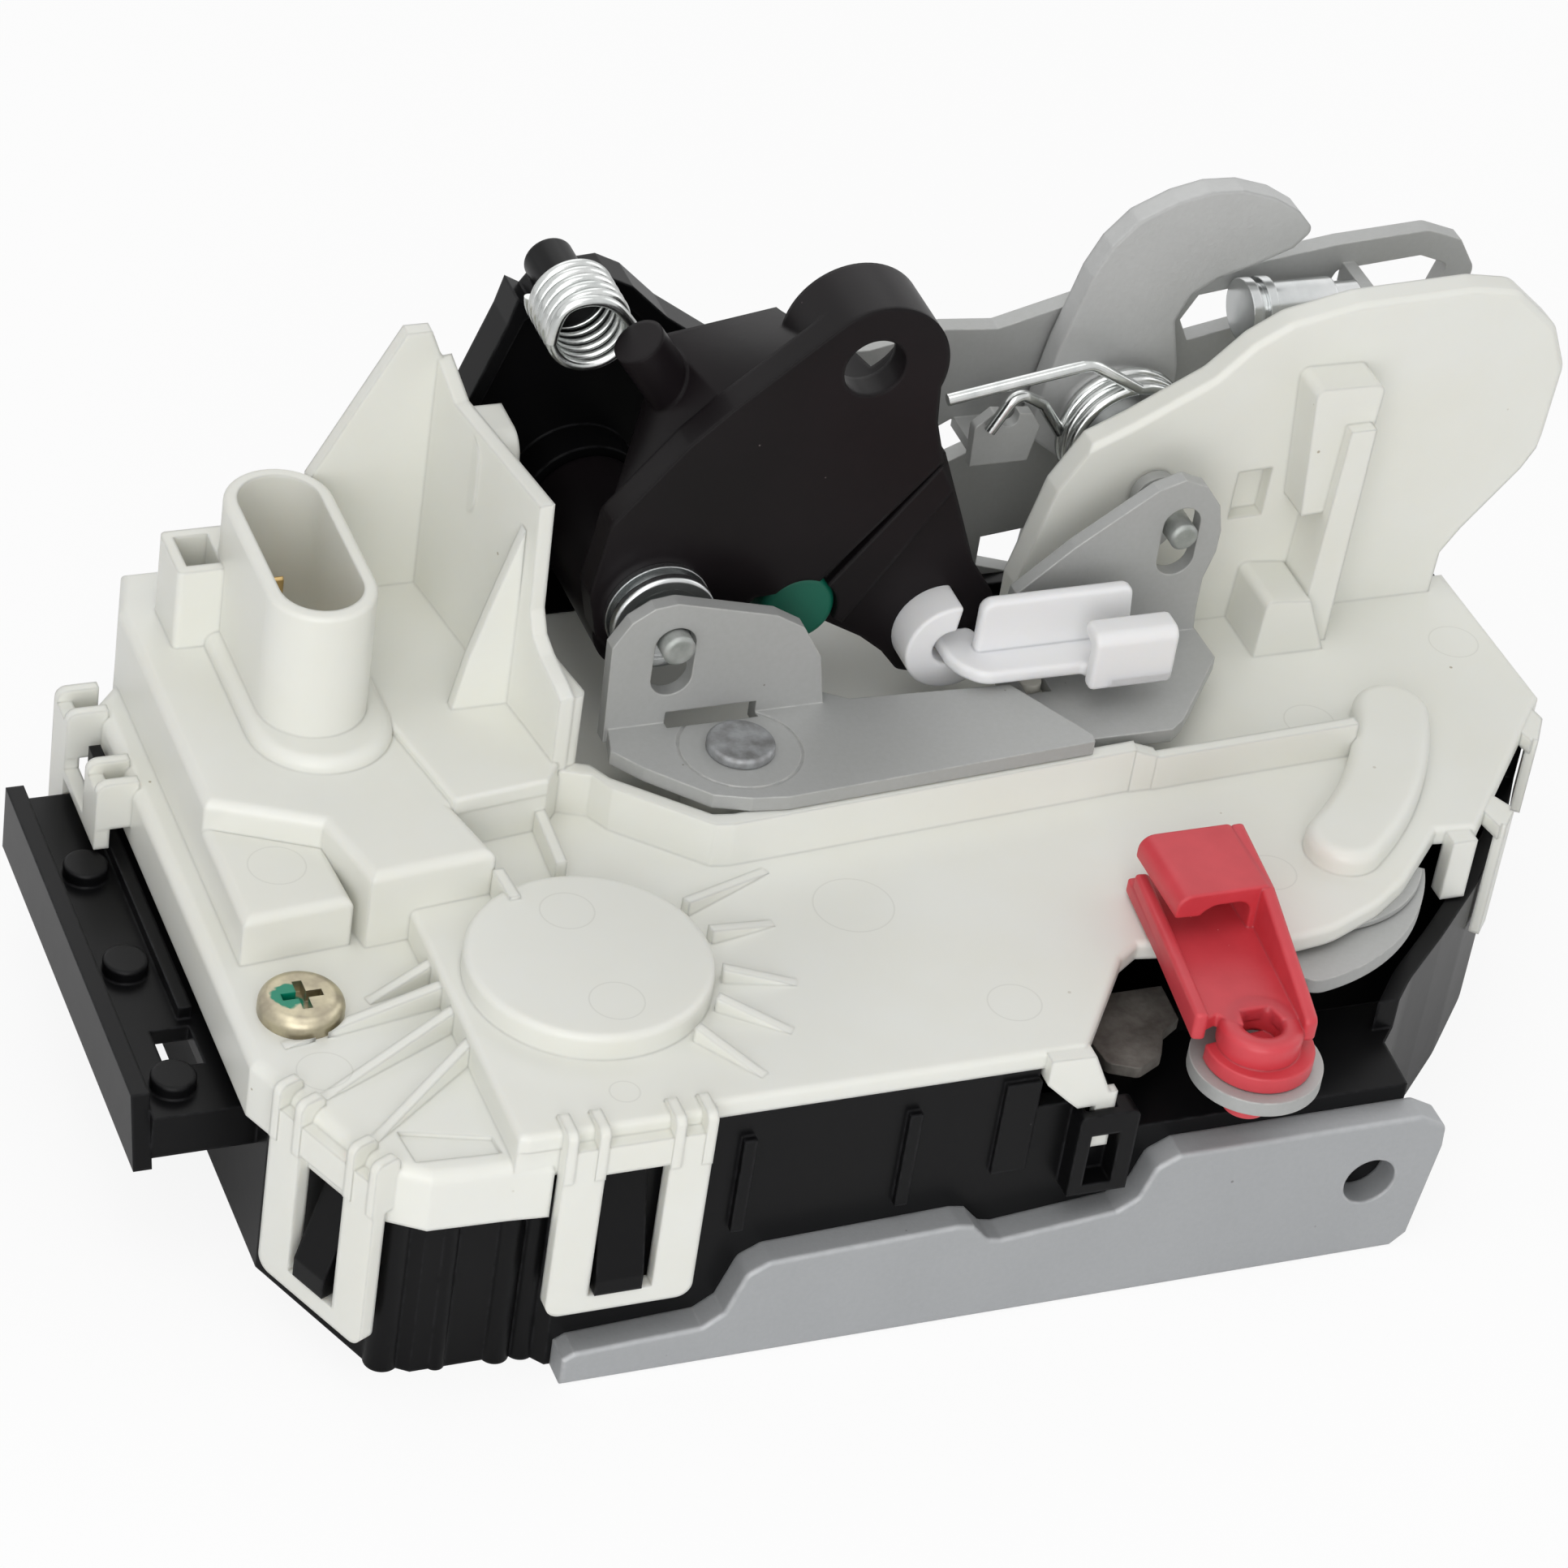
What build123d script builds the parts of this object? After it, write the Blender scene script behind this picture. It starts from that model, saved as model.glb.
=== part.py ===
from build123d import *
import math
import os

# Door latch actuator, millimetres. The origin is the centre of the bolt hole on the outer face
# of the steel flange. +X runs along the long side, +Y to the back, +Z up, out of the cover.

# Steel flange
BOLT_HOLE_R = 3.5
PLATE_T = 3.8
BASE_Z = -12.0
FLANGE_TOP = 9.6

# Levels of the cover and the housing under it
SKIRT_Z = 13.5
LOW_Z = 22.0
DECK_Z = 26.5
HIGH_Z = 33.0
STEP_Z = 34.3
DISC_Z = 30.0
RIDGE_Z = 33.0
COVER_T = 2.2
DECK_UNDER = 24.0
LOW_UNDER = 19.8
TRAY_FLOOR = -9.8
TRAY_WALL = 2.2
TRAY_TOP = DECK_UNDER - 0.05
BLOCK_Z = 12.0
CURVE_WALL_Z = 16.5
TAB_SEAT = 17.8
LEG_TOP = -9.8
LEG_SCREWS = [(-32.0, 26.0), (-9.0, 26.0)]
BACK_Y = 98.0
GUARD_FRONT = 80.0
GUARD_BACK = 83.6

# Connector shroud
SHROUD_X = -116.9
SHROUD_Y = 83.6
SHROUD_W = 13.8
SHROUD_L = 31.4
SHROUD_TOP = 53.0
SHROUD_WALL = 1.7

# Gear dome, wheel and motor
WHEEL_X = -96.0
WHEEL_Y = 28.3
DISC_R = 15.0
WHEEL_TEETH = 30
WHEEL_R = 12.0
PINION_R = 5.0
PINION_TEETH = 12
RACK_Y = WHEEL_Y + PINION_R + 0.3
RACK_PITCH = 2 * math.pi * (PINION_R - 0.6) / PINION_TEETH
SLIDER_Z = 16.4
WORM_R = 3.4
WORM_Y = WHEEL_Y + WHEEL_R + WORM_R - 0.6
WORM_Z = 6.0
MOTOR_X0 = -80.0
MOTOR_LEN = 31.0
MOTOR_R = 12.0
SHAFT_R = 1.0

# Cover screw
SCREW_X = -129.2
SCREW_Y = 34.2
SCREW_HEAD_R = 5.2

# Outside lever: pivot, eccentric guide pin and faces
LEVER_X = -75.2
LEVER_Z = 44.4
GUIDE_Z = 47.4
LEVER_FRONT = 70.0
LEVER_BACK = 86.0
PIVOT_R = 4.0
FIT = 0.06
EAR_HOLE_X = -50.8
EAR_HOLE_Z = 80.0
EAR_HOLE_R = 4.0
EAR_X = -50.2
EAR_Z = 79.4
EAR_R = 9.2
BUMPER_X = -55.6
BUMPER_Z = 43.8
BUMPER_R = 5.0
CLIP_X = -37.6
CLIP_Z = 37.2
GUIDE_PIN_R = 2.1
BUSH_R = 6.8

# Release lever
RIVET_X = -67.6
RIVET_Y = 55.8
RELEASE_Z = 33.2
SHEET_T = 2.0
EAR_Y = 62.5

# Lock lever
LOCK_X = -30.0
LOCK_Y = 56.0
LOCK_Z = 30.8
LOCK_EAR_Y = 70.7
LOCK_PIN_R = 1.9
PEG_X = -24.5
PEG_Y = 65.0
PEG_R = 1.5

# Lock crank before the guard and claw group behind it
CLAW_X = -4.6
CLAW_Z = 51.4
CRANK_X = -4.1
CRANK_Z = 44.0
CRANK_ARM = 5.0
CRANK_Y = 78.0
COIL_Y = 86.0
CLAW_Y = 94.0
CLAW_T = 3.2
STUD_R = 4.5
CRANK_PIVOT_R = 1.6
KIDNEY_Z = 29.8
PIN_NECK_R = 1.4
LOOP_T = 2.5

# Key lever and its end disc
KEY_X = -10.0
KEY_Y = 46.0
KEY_Z = 21.0
KEY_END_X = -19.6
KEY_END_Y = 1.0
KEY_END_R = 8.2


def rounded(points, corners, radius):
    """Face of a closed outline with some of its corners rounded."""
    face = make_face(Polyline(*points, close=True))
    for spot in corners:
        face = fillet([face.vertices().sort_by_distance(spot)[0]], radius)
    return face


def flat(points, z0, z1, radius=0.0, corners=None):
    """Prism of a plan outline between two heights, with rounded upright corners."""
    if radius:
        face = rounded(points, corners or points, radius)
    else:
        face = make_face(Polyline(*points, close=True))
    return extrude(Plane.XY.offset(z0) * face, z1 - z0)


def upright(points, y0, y1, radius=0.0, corners=None):
    """Prism of an outline given in x and z, between two depths, with rounded corners."""
    if radius:
        face = rounded(points, corners or points, radius)
    else:
        face = make_face(Polyline(*points, close=True))
    return extrude(Plane.XZ.offset(-y1) * face, y1 - y0)


def side(points, x0, x1):
    """Prism of an outline given in y and z, between two x positions."""
    face = make_face(Polyline(*points, close=True))
    return extrude(Plane.YZ.offset(x0) * face, x1 - x0)


def block(x0, x1, y0, y1, z0, z1):
    """Box between two corners."""
    return Pos((x0 + x1) / 2, (y0 + y1) / 2, (z0 + z1) / 2) * Box(x1 - x0, y1 - y0, z1 - z0)


def post(x, y, z0, z1, radius):
    """Upright cylinder."""
    return Pos(x, y, (z0 + z1) / 2) * Cylinder(radius, z1 - z0)


def rod_y(x, z, y0, y1, radius):
    """Cylinder along Y."""
    return Pos(x, (y0 + y1) / 2, z) * Rot(90, 0, 0) * Cylinder(radius, y1 - y0)


def rod_x(x0, x1, y, z, radius):
    """Cylinder along X."""
    return Pos((x0 + x1) / 2, y, z) * Rot(0, 90, 0) * Cylinder(radius, x1 - x0)


def oval(x, y, width, length, z0, z1):
    """Prism with half-round ends, long along Y."""
    face = Pos(x, y) * Rot(0, 0, 90) * SlotOverall(length, width)
    return extrude(Plane.XY.offset(z0) * face, z1 - z0)


def slot_xz(x, z, width, height, y0, y1):
    """Prism along Y of a slot that stands upright."""
    face = Pos(x, z) * Rot(0, 0, 90) * SlotOverall(height, width)
    return extrude(Plane.XZ.offset(-y1) * face, y1 - y0)


def soft_top(solid, radius):
    """Round the edges of a solid's top face."""
    return fillet(solid.edges().group_by(Axis.Z)[-1], radius)


def rib(x0, y0, x1, y1, z0, z1, thickness):
    """Thin straight wall between two points of the plan."""
    length = math.hypot(x1 - x0, y1 - y0)
    angle = math.degrees(math.atan2(y1 - y0, x1 - x0))
    wall = Pos(length / 2, 0, (z1 - z0) / 2) * Box(length, thickness, z1 - z0)
    return Pos(x0, y0, z0) * Rot(0, 0, angle) * wall


def sloped_rib(x0, y0, x1, y1, z0, z1, thickness):
    """Wall that runs down from full height at its first point to nothing at its second."""
    length = math.hypot(x1 - x0, y1 - y0)
    angle = math.degrees(math.atan2(y1 - y0, x1 - x0))
    profile = [(0, 0), (length, 0), (length, 0.4), (0, z1 - z0)]
    face = make_face(Polyline(*profile, close=True))
    wall = extrude(Plane.XZ.offset(-thickness / 2) * face, thickness)
    return Pos(x0, y0, z0) * Rot(0, 0, angle) * wall


# Plan outlines

TRAY_OUTLINE = [
    (-129.6, 104.5), (-131.8, 98.0), (-134.2, 95.2), (-134.2, 27.5), (-126.3, 9.5), (-121.5, 6.2),
    (-107.5, 6.2), (-105.5, PLATE_T),
    (4.5, PLATE_T), (5.0, 11.5), (10.5, 17.5), (18.5, 24.5), (27.0, 32.5), (36.0, 42.5), (45.0, 56.5),
    (45.4, BACK_Y), (-95.0, BACK_Y), (-95.0, 104.5),
]

TRAY_INNER = [
    (-128.0, 102.3), (-129.8, 97.2), (-132.0, 94.4), (-132.0, 28.0), (-124.8, 11.2), (-121.0, 8.4), (-106.6, 8.4), (-104.6, 6.0),
    (2.3, 6.0), (2.8, 12.3), (8.8, 19.1), (16.9, 26.2), (25.2, 34.0), (34.0, 43.8), (42.8, 57.2),
    (43.2, BACK_Y - TRAY_WALL), (-97.2, BACK_Y - TRAY_WALL), (-97.2, 102.3),
]

LEFT_SKIRT = [
    (-137.4, 96.0), (-137.4, 27.0), (-128.4, 7.0), (-122.6, 3.4), (-112.8, 3.0), (-108.0, 2.6),
    (-108.0, 107.5), (-131.6, 107.5), (-134.2, 99.5),
]

DECK_OUTLINE = [
    (-112.9, 46.0), (-112.9, 3.0), (-111.5, 2.6), (-88.4, 2.6), (-88.4, PLATE_T), (-41.2, PLATE_T),
    (-30.6, 18.2), (-27.6, 20.2), (-8.3, 17.2), (-2.0, 18.0), (5.9, 21.4), (11.2, 25.0), (15.6, 29.4),
    (19.4, 33.2), (24.9, 32.6), (45.4, 56.0), (44.6, GUARD_BACK), (-22.0, GUARD_BACK),
    (-22.0, BACK_Y - 0.3), (-94.0, BACK_Y - 0.3), (-94.0, 57.0), (-105.0, 55.0), (-105.0, 46.0),
]

DECK_BEND = [(-8.3, 17.2), (-2.0, 18.0), (5.9, 21.4), (11.2, 25.0), (15.6, 29.4)]

TRAY_BEND = [(10.5, 17.5), (18.5, 24.5), (27.0, 32.5), (36.0, 42.5)]

INNER_BEND = [(8.8, 19.1), (16.9, 26.2), (25.2, 34.0), (34.0, 43.8)]

HIGH_OUTLINE = [
    (-134.0, 100.0), (-134.0, 61.2), (-125.4, 57.0), (-121.0, 54.8), (-119.2, 47.6), (-118.4, 43.6),
    (-102.3, 45.2), (-104.6, 54.2), (-92.4, 55.7), (-89.9, 58.5), (-95.8, 99.0), (-96.0, 107.5),
    (-131.6, 107.5),
]

RIDGE_FRONT = [(-90.0, 58.6), (-86.2, 57.0), (-84.6, 54.0), (-74.5, 44.8), (-72.0, 44.4), (-16.8, 48.2)]


def inset(points, distance):
    """Offset a plan outline inwards and return its face."""
    face = make_face(Polyline(*points, close=True))
    return offset(face, -distance)


def hollow(points, wall, z0, z1):
    """Prism of an outline drawn in by a wall thickness."""
    return extrude(Plane.XY.offset(z0) * inset(points, wall), z1 - z0)


def cover_levels():
    """Stepped shell of the cover: skirt, low floor, deck and high plateau."""
    low = soft_top(flat(LEFT_SKIRT, SKIRT_Z, LOW_Z), 1.6)
    deck = soft_top(flat(DECK_OUTLINE, DECK_UNDER, DECK_Z, 12.0, DECK_BEND), 0.8)
    deck_side = flat([(-112.9, 46.0), (-112.9, 3.0), (-88.4, 2.6), (-88.4, 46.0)], LOW_UNDER, DECK_UNDER)
    high = soft_top(flat(HIGH_OUTLINE, LOW_Z - 1.0, HIGH_Z), 1.3)
    mid_block = soft_top(flat([(-134.0, 62.0), (-134.0, 43.4), (-120.0, 44.6), (-120.6, 55.2)],
                              LOW_Z - 1.0, 29.0), 1.2)
    step = soft_top(flat([(-108.3, 71.5), (-104.9, 54.0), (-92.4, 55.5), (-90.2, 58.4), (-95.6, 98.8),
                          (-107.2, 98.8)], HIGH_Z - 1.0, STEP_Z), 0.5)
    body = low + deck + deck_side + high + mid_block + step
    low_room = hollow(LEFT_SKIRT, COVER_T, SKIRT_Z - 1.0, LOW_UNDER)
    deck_room = flat([(-110.7, 47.0), (-110.7, 5.4), (-86.0, 5.4), (-86.0, 47.0)], SKIRT_Z, DECK_UNDER)
    high_room = hollow(HIGH_OUTLINE, COVER_T, SKIRT_Z, HIGH_Z - COVER_T)
    mid_room = flat([(-131.2, 63.0), (-131.2, 46.0), (-123.0, 47.0), (-123.0, 60.0)], SKIRT_Z, 26.8)
    return body - low_room - deck_room - high_room - mid_room


def gear_dome():
    """Round dome over the wheel with five radial ribs and the ribs to its left."""
    dome = soft_top(post(WHEEL_X, WHEEL_Y, DECK_UNDER + 0.5, DISC_Z, DISC_R), 0.9)
    spokes = [(-80.6, 36.9, -68.0, 42.6), (-79.4, 31.4, -70.6, 33.0), (-80.4, 24.4, -71.6, 22.0),
              (-82.8, 19.6, -75.2, 13.8), (-87.0, 15.0, -81.2, 7.0)]
    for x0, y0, x1, y1 in spokes:
        dome += sloped_rib(x0, y0, x1, y1, DECK_Z - 0.3, 28.6, 1.3)
    sweeps = [(-111.6, 36.6, -121.0, 34.2), (-111.6, 32.2, -133.0, 28.6), (-111.6, 28.0, -131.0, 19.0),
              (-111.6, 22.4, -127.4, 10.8)]
    for x0, y0, x1, y1 in sweeps:
        dome += sloped_rib(x0, y0, x1, y1, LOW_Z - 0.3, 25.4, 1.3)
    dome += rib(-102.0, 45.0, -101.6, 39.6, DECK_Z - 0.3, HIGH_Z - 2.5, 1.4)
    dome += rib(-93.0, 56.5, -93.6, 45.6, DECK_Z - 0.3, 29.6, 1.4)
    return dome


def connector_shroud():
    """Oval connector collar on its plinth, with the open pocket at its side."""
    plinth = oval(SHROUD_X + 0.4, SHROUD_Y - 1.2, SHROUD_W + 4.4, SHROUD_L + 7.0, HIGH_Z - 0.5, HIGH_Z + 2.0)
    plinth = soft_top(plinth, 1.6)
    collar = oval(SHROUD_X, SHROUD_Y, SHROUD_W, SHROUD_L, HIGH_Z, SHROUD_TOP)
    collar = soft_top(collar, 0.6)
    pocket = block(-129.6, -119.0, 90.8, 99.6, HIGH_Z - 1.0, 44.6)
    pocket = fillet(pocket.edges().filter_by(Axis.Z).group_by(Axis.X)[0], 0.8)
    room = oval(SHROUD_X, SHROUD_Y, SHROUD_W - 2 * SHROUD_WALL, SHROUD_L - 2 * SHROUD_WALL,
                HIGH_Z + 1.0, SHROUD_TOP + 1.0)
    pocket_room = block(-128.2, -123.9, 92.2, 98.2, HIGH_Z + 1.4, 45.6)
    return plinth + collar + pocket - room - pocket_room


def shield_wall():
    """Tall L-shaped wall behind and beside the connector, with its gusset and tab."""
    back = upright([(-111.7, HIGH_Z - 1.0), (-111.7, 52.0), (-100.8, 72.5), (-97.6, 72.5), (-96.2, 69.0),
                    (-94.6, 66.4), (-94.6, HIGH_Z - 1.0)], 97.0, 99.0)
    profile = [(97.6, DECK_UNDER + 0.5), (97.6, 68.6), (92.0, 65.2), (68.8, 65.6), (68.2, 50.6), (66.8, 47.6),
               (64.6, 46.2), (60.6, 44.8), (58.5, 43.8), (58.5, DECK_UNDER + 0.5)]
    flank = side(profile, -94.0, -92.0)
    lean = math.degrees(math.atan2(5.9, 40.5))
    flank = Pos(-93.0, 79.5, 0) * Rot(0, 0, lean) * Pos(93.0, -79.5, 0) * flank
    foot = flat([(-91.4, 70.0), (-90.0, 58.8), (-87.2, 59.6), (-89.0, 70.0)], DECK_UNDER + 0.5, 43.6, 1.0,
                [(-87.2, 59.6)])
    gusset = upright([(-100.2, HIGH_Z), (-98.4, 42.0), (-95.6, 52.0), (-93.0, 60.6), (-92.4, HIGH_Z)], 71.0, 72.6)
    tab_face = rounded([(84.0, 53.0), (84.0, 64.4), (92.0, 64.4), (92.0, 53.0)], [(84.0, 64.4), (84.0, 53.0)], 3.0)
    tab = extrude(Plane.YZ.offset(-95.0) * tab_face, 5.4)
    return back + flank + foot + gusset + tab


def kidney_boss(start, middle, end, half):
    """Pillow-like boss along an arc, with half-round ends."""
    path = ThreePointArc(start, middle, end)
    centre = Vector(path.arc_center)
    near = []
    far = []
    for place in (0.0, 0.5, 1.0):
        point = path @ place
        out = (point - centre).normalized() * half
        near.append(point - out)
        far.append(point + out)
    head = path @ 0 - (path % 0) * half
    tail = path @ 1 + (path % 1) * half
    lines = [ThreePointArc(near[0], near[1], near[2]), ThreePointArc(near[2], tail, far[2]),
             ThreePointArc(far[2], far[1], far[0]), ThreePointArc(far[0], head, near[0])]
    boss = extrude(Plane.XY.offset(DECK_UNDER + 0.5) * make_face(lines), KIDNEY_Z - DECK_UNDER - 0.5)
    return soft_top(boss, 1.6)


def ridge_and_boss():
    """Ridge wall in front of the levers, the thin rib and the kidney boss at its end."""
    back_line = [(x + 0.3, y + 2.0) for x, y in reversed(RIDGE_FRONT)]
    ridge = flat(RIDGE_FRONT + back_line, DECK_UNDER + 0.5, RIDGE_Z)
    ramp = upright([(-17.0, DECK_UNDER + 0.5), (-17.0, RIDGE_Z), (-13.6, 31.6), (-13.6, DECK_UNDER + 0.5)],
                   48.0, 50.0)
    thin = rib(-14.0, 48.6, 15.0, 50.0, DECK_UNDER + 0.5, 31.6, 1.5)
    kidney = kidney_boss((5.4, 31.6), (15.4, 41.6), (22.6, 54.4), 5.0)
    rivet_boss = post(RIVET_X, RIVET_Y, DECK_UNDER + 0.5, RELEASE_Z - 0.05, 6.5)
    lock_boss = post(LOCK_X, LOCK_Y, DECK_UNDER + 0.5, LOCK_Z - 0.05, 5.0)
    return ridge + ramp + thin + kidney + rivet_boss + lock_boss


def guard_plate():
    """Upright guard with rounded corners, its channel ribs, the recess and the crank's bearing."""
    outline = [(-21.0, DECK_UNDER + 0.5), (-21.0, 36.0), (-17.4, 50.2), (-13.4, 56.8), (-8.0, 59.4),
               (2.0, 65.0), (6.8, 69.8), (11.6, 72.6), (20.8, 74.6), (37.0, 75.2), (43.6, 74.0),
               (50.4, 67.8), (53.2, 61.0), (52.6, 50.0), (50.2, 45.4), (43.3, 36.6), (41.0, 32.9),
               (40.7, DECK_UNDER + 0.5)]
    plate = upright(outline, GUARD_FRONT, GUARD_BACK, 4.0, outline[4:13])
    plate = chamfer(plate.faces().sort_by(Axis.Y)[0].edges().filter_by(lambda e: e.center().Z > 60.0), 0.7)
    upper = upright([(15.4, 46.0), (13.8, 65.8), (23.6, 65.6), (22.4, 46.4)], 74.6, GUARD_FRONT + 0.5, 1.2,
                    [(13.8, 65.8), (23.6, 65.6)])
    web = upright([(17.6, DECK_UNDER + 0.5), (19.0, 60.0), (22.6, 60.0), (22.0, DECK_UNDER + 0.5)],
                  72.8, GUARD_FRONT + 0.5)
    lower = upright([(10.6, DECK_UNDER + 0.5), (11.2, 35.4), (17.6, 34.6), (21.6, DECK_UNDER + 0.5)],
                    71.0, GUARD_FRONT + 0.5, 1.2, [(11.2, 35.4)])
    plate = plate + upper + web + lower
    window = upright([(8.0, 42.6), (8.2, 50.0), (13.0, 50.2), (12.8, 42.8)], GUARD_FRONT - 1.0, GUARD_BACK - 1.4)
    return plate - window - rod_y(CRANK_X, CRANK_Z, GUARD_FRONT - 1.0, GUARD_BACK + 1.0, CRANK_PIVOT_R)


def snap_frame(width, drop, rise, window_bottom, window_top, strap, reach=2.6):
    """Snap frame in its own plane: x along the wall, y outwards, z up from the deck edge."""
    half = width / 2
    frame = block(-half, half, 0, 1.9, drop, -1.2)
    frame = fillet(frame.edges().filter_by(Axis.Y).group_by(Axis.Z)[0], 2.0)
    frame -= block(-half + strap, half - strap, -1.0, 3.0, window_bottom, window_top)
    for centre in (-half + strap / 2, half - strap / 2):
        for offset_x in (-strap / 2 + 0.65, strap / 2 - 0.65):
            prong = block(centre + offset_x - 0.65, centre + offset_x + 0.65, -reach, 2.1, -6.0, rise)
            frame += fillet(prong.edges().filter_by(Axis.X).group_by(Axis.Z)[-1], 1.1)
    return frame


def left_straps():
    """Two straps of the left end, one long and one short, with their prongs."""
    long_strap = block(-141.9, -140.0, 92.8, 98.8, 1.0, 21.4)
    short_strap = block(-141.9, -140.0, 78.4, 84.0, 13.0, 21.4)
    straps = long_strap + short_strap + block(-141.9, -140.0, 83.0, 94.0, 13.0, 14.4)
    for y in (98.1, 93.4, 83.4, 79.0):
        prong = block(-141.9, -136.6, y - 0.65, y + 0.65, 16.0, 23.0)
        straps += fillet(prong.edges().filter_by(Axis.Y).group_by(Axis.Z)[-1].sort_by(Axis.X)[0], 1.4)
    return straps


def cover_frames():
    """The snap frames of the cover, the sloped tab and the fingers at its right end."""
    front = Pos(-98.4, 2.8, DECK_Z - 0.6) * Rot(0, 0, 180) * snap_frame(18.4, -27.2, 1.6, -24.6, -5.4, 5.2)
    angle = math.degrees(math.atan2(-20.0, 9.0))
    chamfer_frame = snap_frame(18.2, -26.6, 2.0, -23.8, -5.6, 5.2, 1.6)
    slanted = Pos(-130.9, 13.5, LOW_Z - 0.4) * Rot(0, 0, angle + 180) * chamfer_frame
    tab = upright([(-46.4, DECK_Z - 0.2), (-46.4, 22.6), (-43.2, 19.4), (-41.8, TAB_SEAT + 0.3),
                   (-37.0, TAB_SEAT + 0.3), (-40.6, DECK_Z - 0.4)], 2.2, 12.0)
    tab += block(-39.4, -36.8, 2.2, 3.5, 11.4, 20.0)
    fingers = block(20.8, 24.2, 30.6, 33.2, CURVE_WALL_Z + 0.3, DECK_Z - 0.5)
    fingers += rib(28.74, 32.94, 30.94, 35.39, 8.0, DECK_Z - 0.4, 1.4)
    fingers += flat([(27.4, 36.4), (28.2, 32.3), (31.5, 35.9), (30.0, 38.8)], DECK_UNDER, DECK_Z - 0.4)
    fingers += rib(40.84, 48.16, 43.44, 52.23, 14.0, DECK_Z - 0.4, 1.4)
    fingers += flat([(39.4, 51.4), (40.4, 47.6), (44.0, 52.0), (43.4, 55.2)], DECK_UNDER, DECK_Z - 0.4)
    return front + slanted + left_straps() + tab + fingers


def make_white_cover():
    """Moulded cover with everything that is one piece with it."""
    cover = cover_levels() + gear_dome() + connector_shroud() + shield_wall()
    cover += ridge_and_boss() + guard_plate() + cover_frames()
    cover -= post(SCREW_X, SCREW_Y, LOW_UNDER - 2.0, LOW_Z + 1.0, 2.3)
    cover -= post(SCREW_X, SCREW_Y, LOW_Z, HIGH_Z, SCREW_HEAD_R + 0.4)
    cover -= post(RIVET_X, RIVET_Y, DECK_UNDER - 3.0, RELEASE_Z + 1.0, 2.5)
    cover -= post(LOCK_X, LOCK_Y, DECK_UNDER - 3.0, LOCK_Z + 1.0, 2.5)
    cover -= block(PEG_X - 4.4, PEG_X + 2.4, PEG_Y - 2.2, PEG_Y + 2.2, DECK_UNDER - 1.0, DECK_Z + 1.0)
    cover -= flat([(-124.4, 11.6), (-123.8, 6.2), (-113.6, 5.6), (-113.9, 8.4)], LOW_Z - 0.6, LOW_Z + 1.0)
    for y in (74.6, 80.6, 86.6, 92.6):
        cover -= block(SHROUD_X - 1.5, SHROUD_X + 1.5, y - 0.5, y + 0.5, HIGH_Z - 4.0, HIGH_Z + 2.0)
    return cover


def tray_shell():
    """Floor and walls of the black housing at their different heights."""
    floor = flat(TRAY_OUTLINE, BASE_Z, TRAY_FLOOR, 20.0, TRAY_BEND)
    floor -= block(-42.0, 1.0, 0.0, 38.0, BASE_Z - 1.0, LEG_TOP + 0.2)
    floor += block(-43.0, 2.0, PLATE_T + 1.0, 39.0, LEG_TOP + 0.2, LEG_TOP + 2.4)
    wall = flat(TRAY_OUTLINE, TRAY_FLOOR, TRAY_TOP, 20.0, TRAY_BEND)
    wall -= flat(TRAY_INNER, TRAY_FLOOR - 1.0, TRAY_TOP + 1.0, 17.8, INNER_BEND)
    wall -= block(-140.0, -108.2, 0.0, 110.0, LOW_UNDER - 0.2, TRAY_TOP + 1.0)
    wall -= block(-108.3, -87.9, 0.0, 10.0, LOW_UNDER - 0.2, TRAY_TOP + 1.0)
    wall -= block(-46.8, -33.0, 0.0, 14.0, TAB_SEAT, TRAY_TOP + 1.0)
    wall -= block(-110.0, -94.6, 94.0, 110.0, LOW_Z - 1.3, TRAY_TOP + 1.0)
    wall -= block(-36.0, 8.0, 0.0, 14.0, BLOCK_Z, TRAY_TOP + 1.0)
    wall -= flat([(-5.0, 10.0), (4.0, 8.0), (48.0, 50.0), (30.0, 56.0), (-5.0, 24.0)], CURVE_WALL_Z, TRAY_TOP + 1.0)
    return floor + wall


def right_block():
    """Closed block beside the flange, with its flat glossy top."""
    top = flat([(-36.0, PLATE_T), (4.5, PLATE_T), (5.0, 11.5), (8.8, 19.0), (-36.0, 19.0)], BLOCK_Z - 2.2, BLOCK_Z)
    left_wall = block(-38.2, -36.0, PLATE_T, 21.0, TRAY_FLOOR + 1.0, TAB_SEAT)
    back_wall = block(-36.5, 9.0, 16.8, 19.0, TRAY_FLOOR + 1.0, BLOCK_Z)
    roof = block(-21.0, 44.5, GUARD_BACK + 0.1, BACK_Y - 0.5, LOW_UNDER, LOW_Z)
    return top + left_wall + back_wall + roof


def guide_rail():
    """Rail along the left end with its outer lip, ribs, round bosses and window."""
    rail = block(-147.2, -133.6, 33.6, 92.4, 8.6, 10.8)
    rail += side([(33.6, 13.0), (30.6, 3.6), (92.4, 3.6), (92.4, 13.0)], -149.4, -147.1)
    rail += block(-147.2, -134.0, 31.4, 33.6, 4.6, 10.8)
    rail += block(-139.6, -137.9, 48.0, 92.4, 10.4, 12.6)
    for y in (76.7, 58.2, 36.8):
        rail += soft_top(post(-143.3, y, 10.0, 12.6, 2.8), 0.4)
    rail -= block(-143.4, -138.6, 39.8, 46.6, 0.0, 16.0)
    return rail


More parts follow.
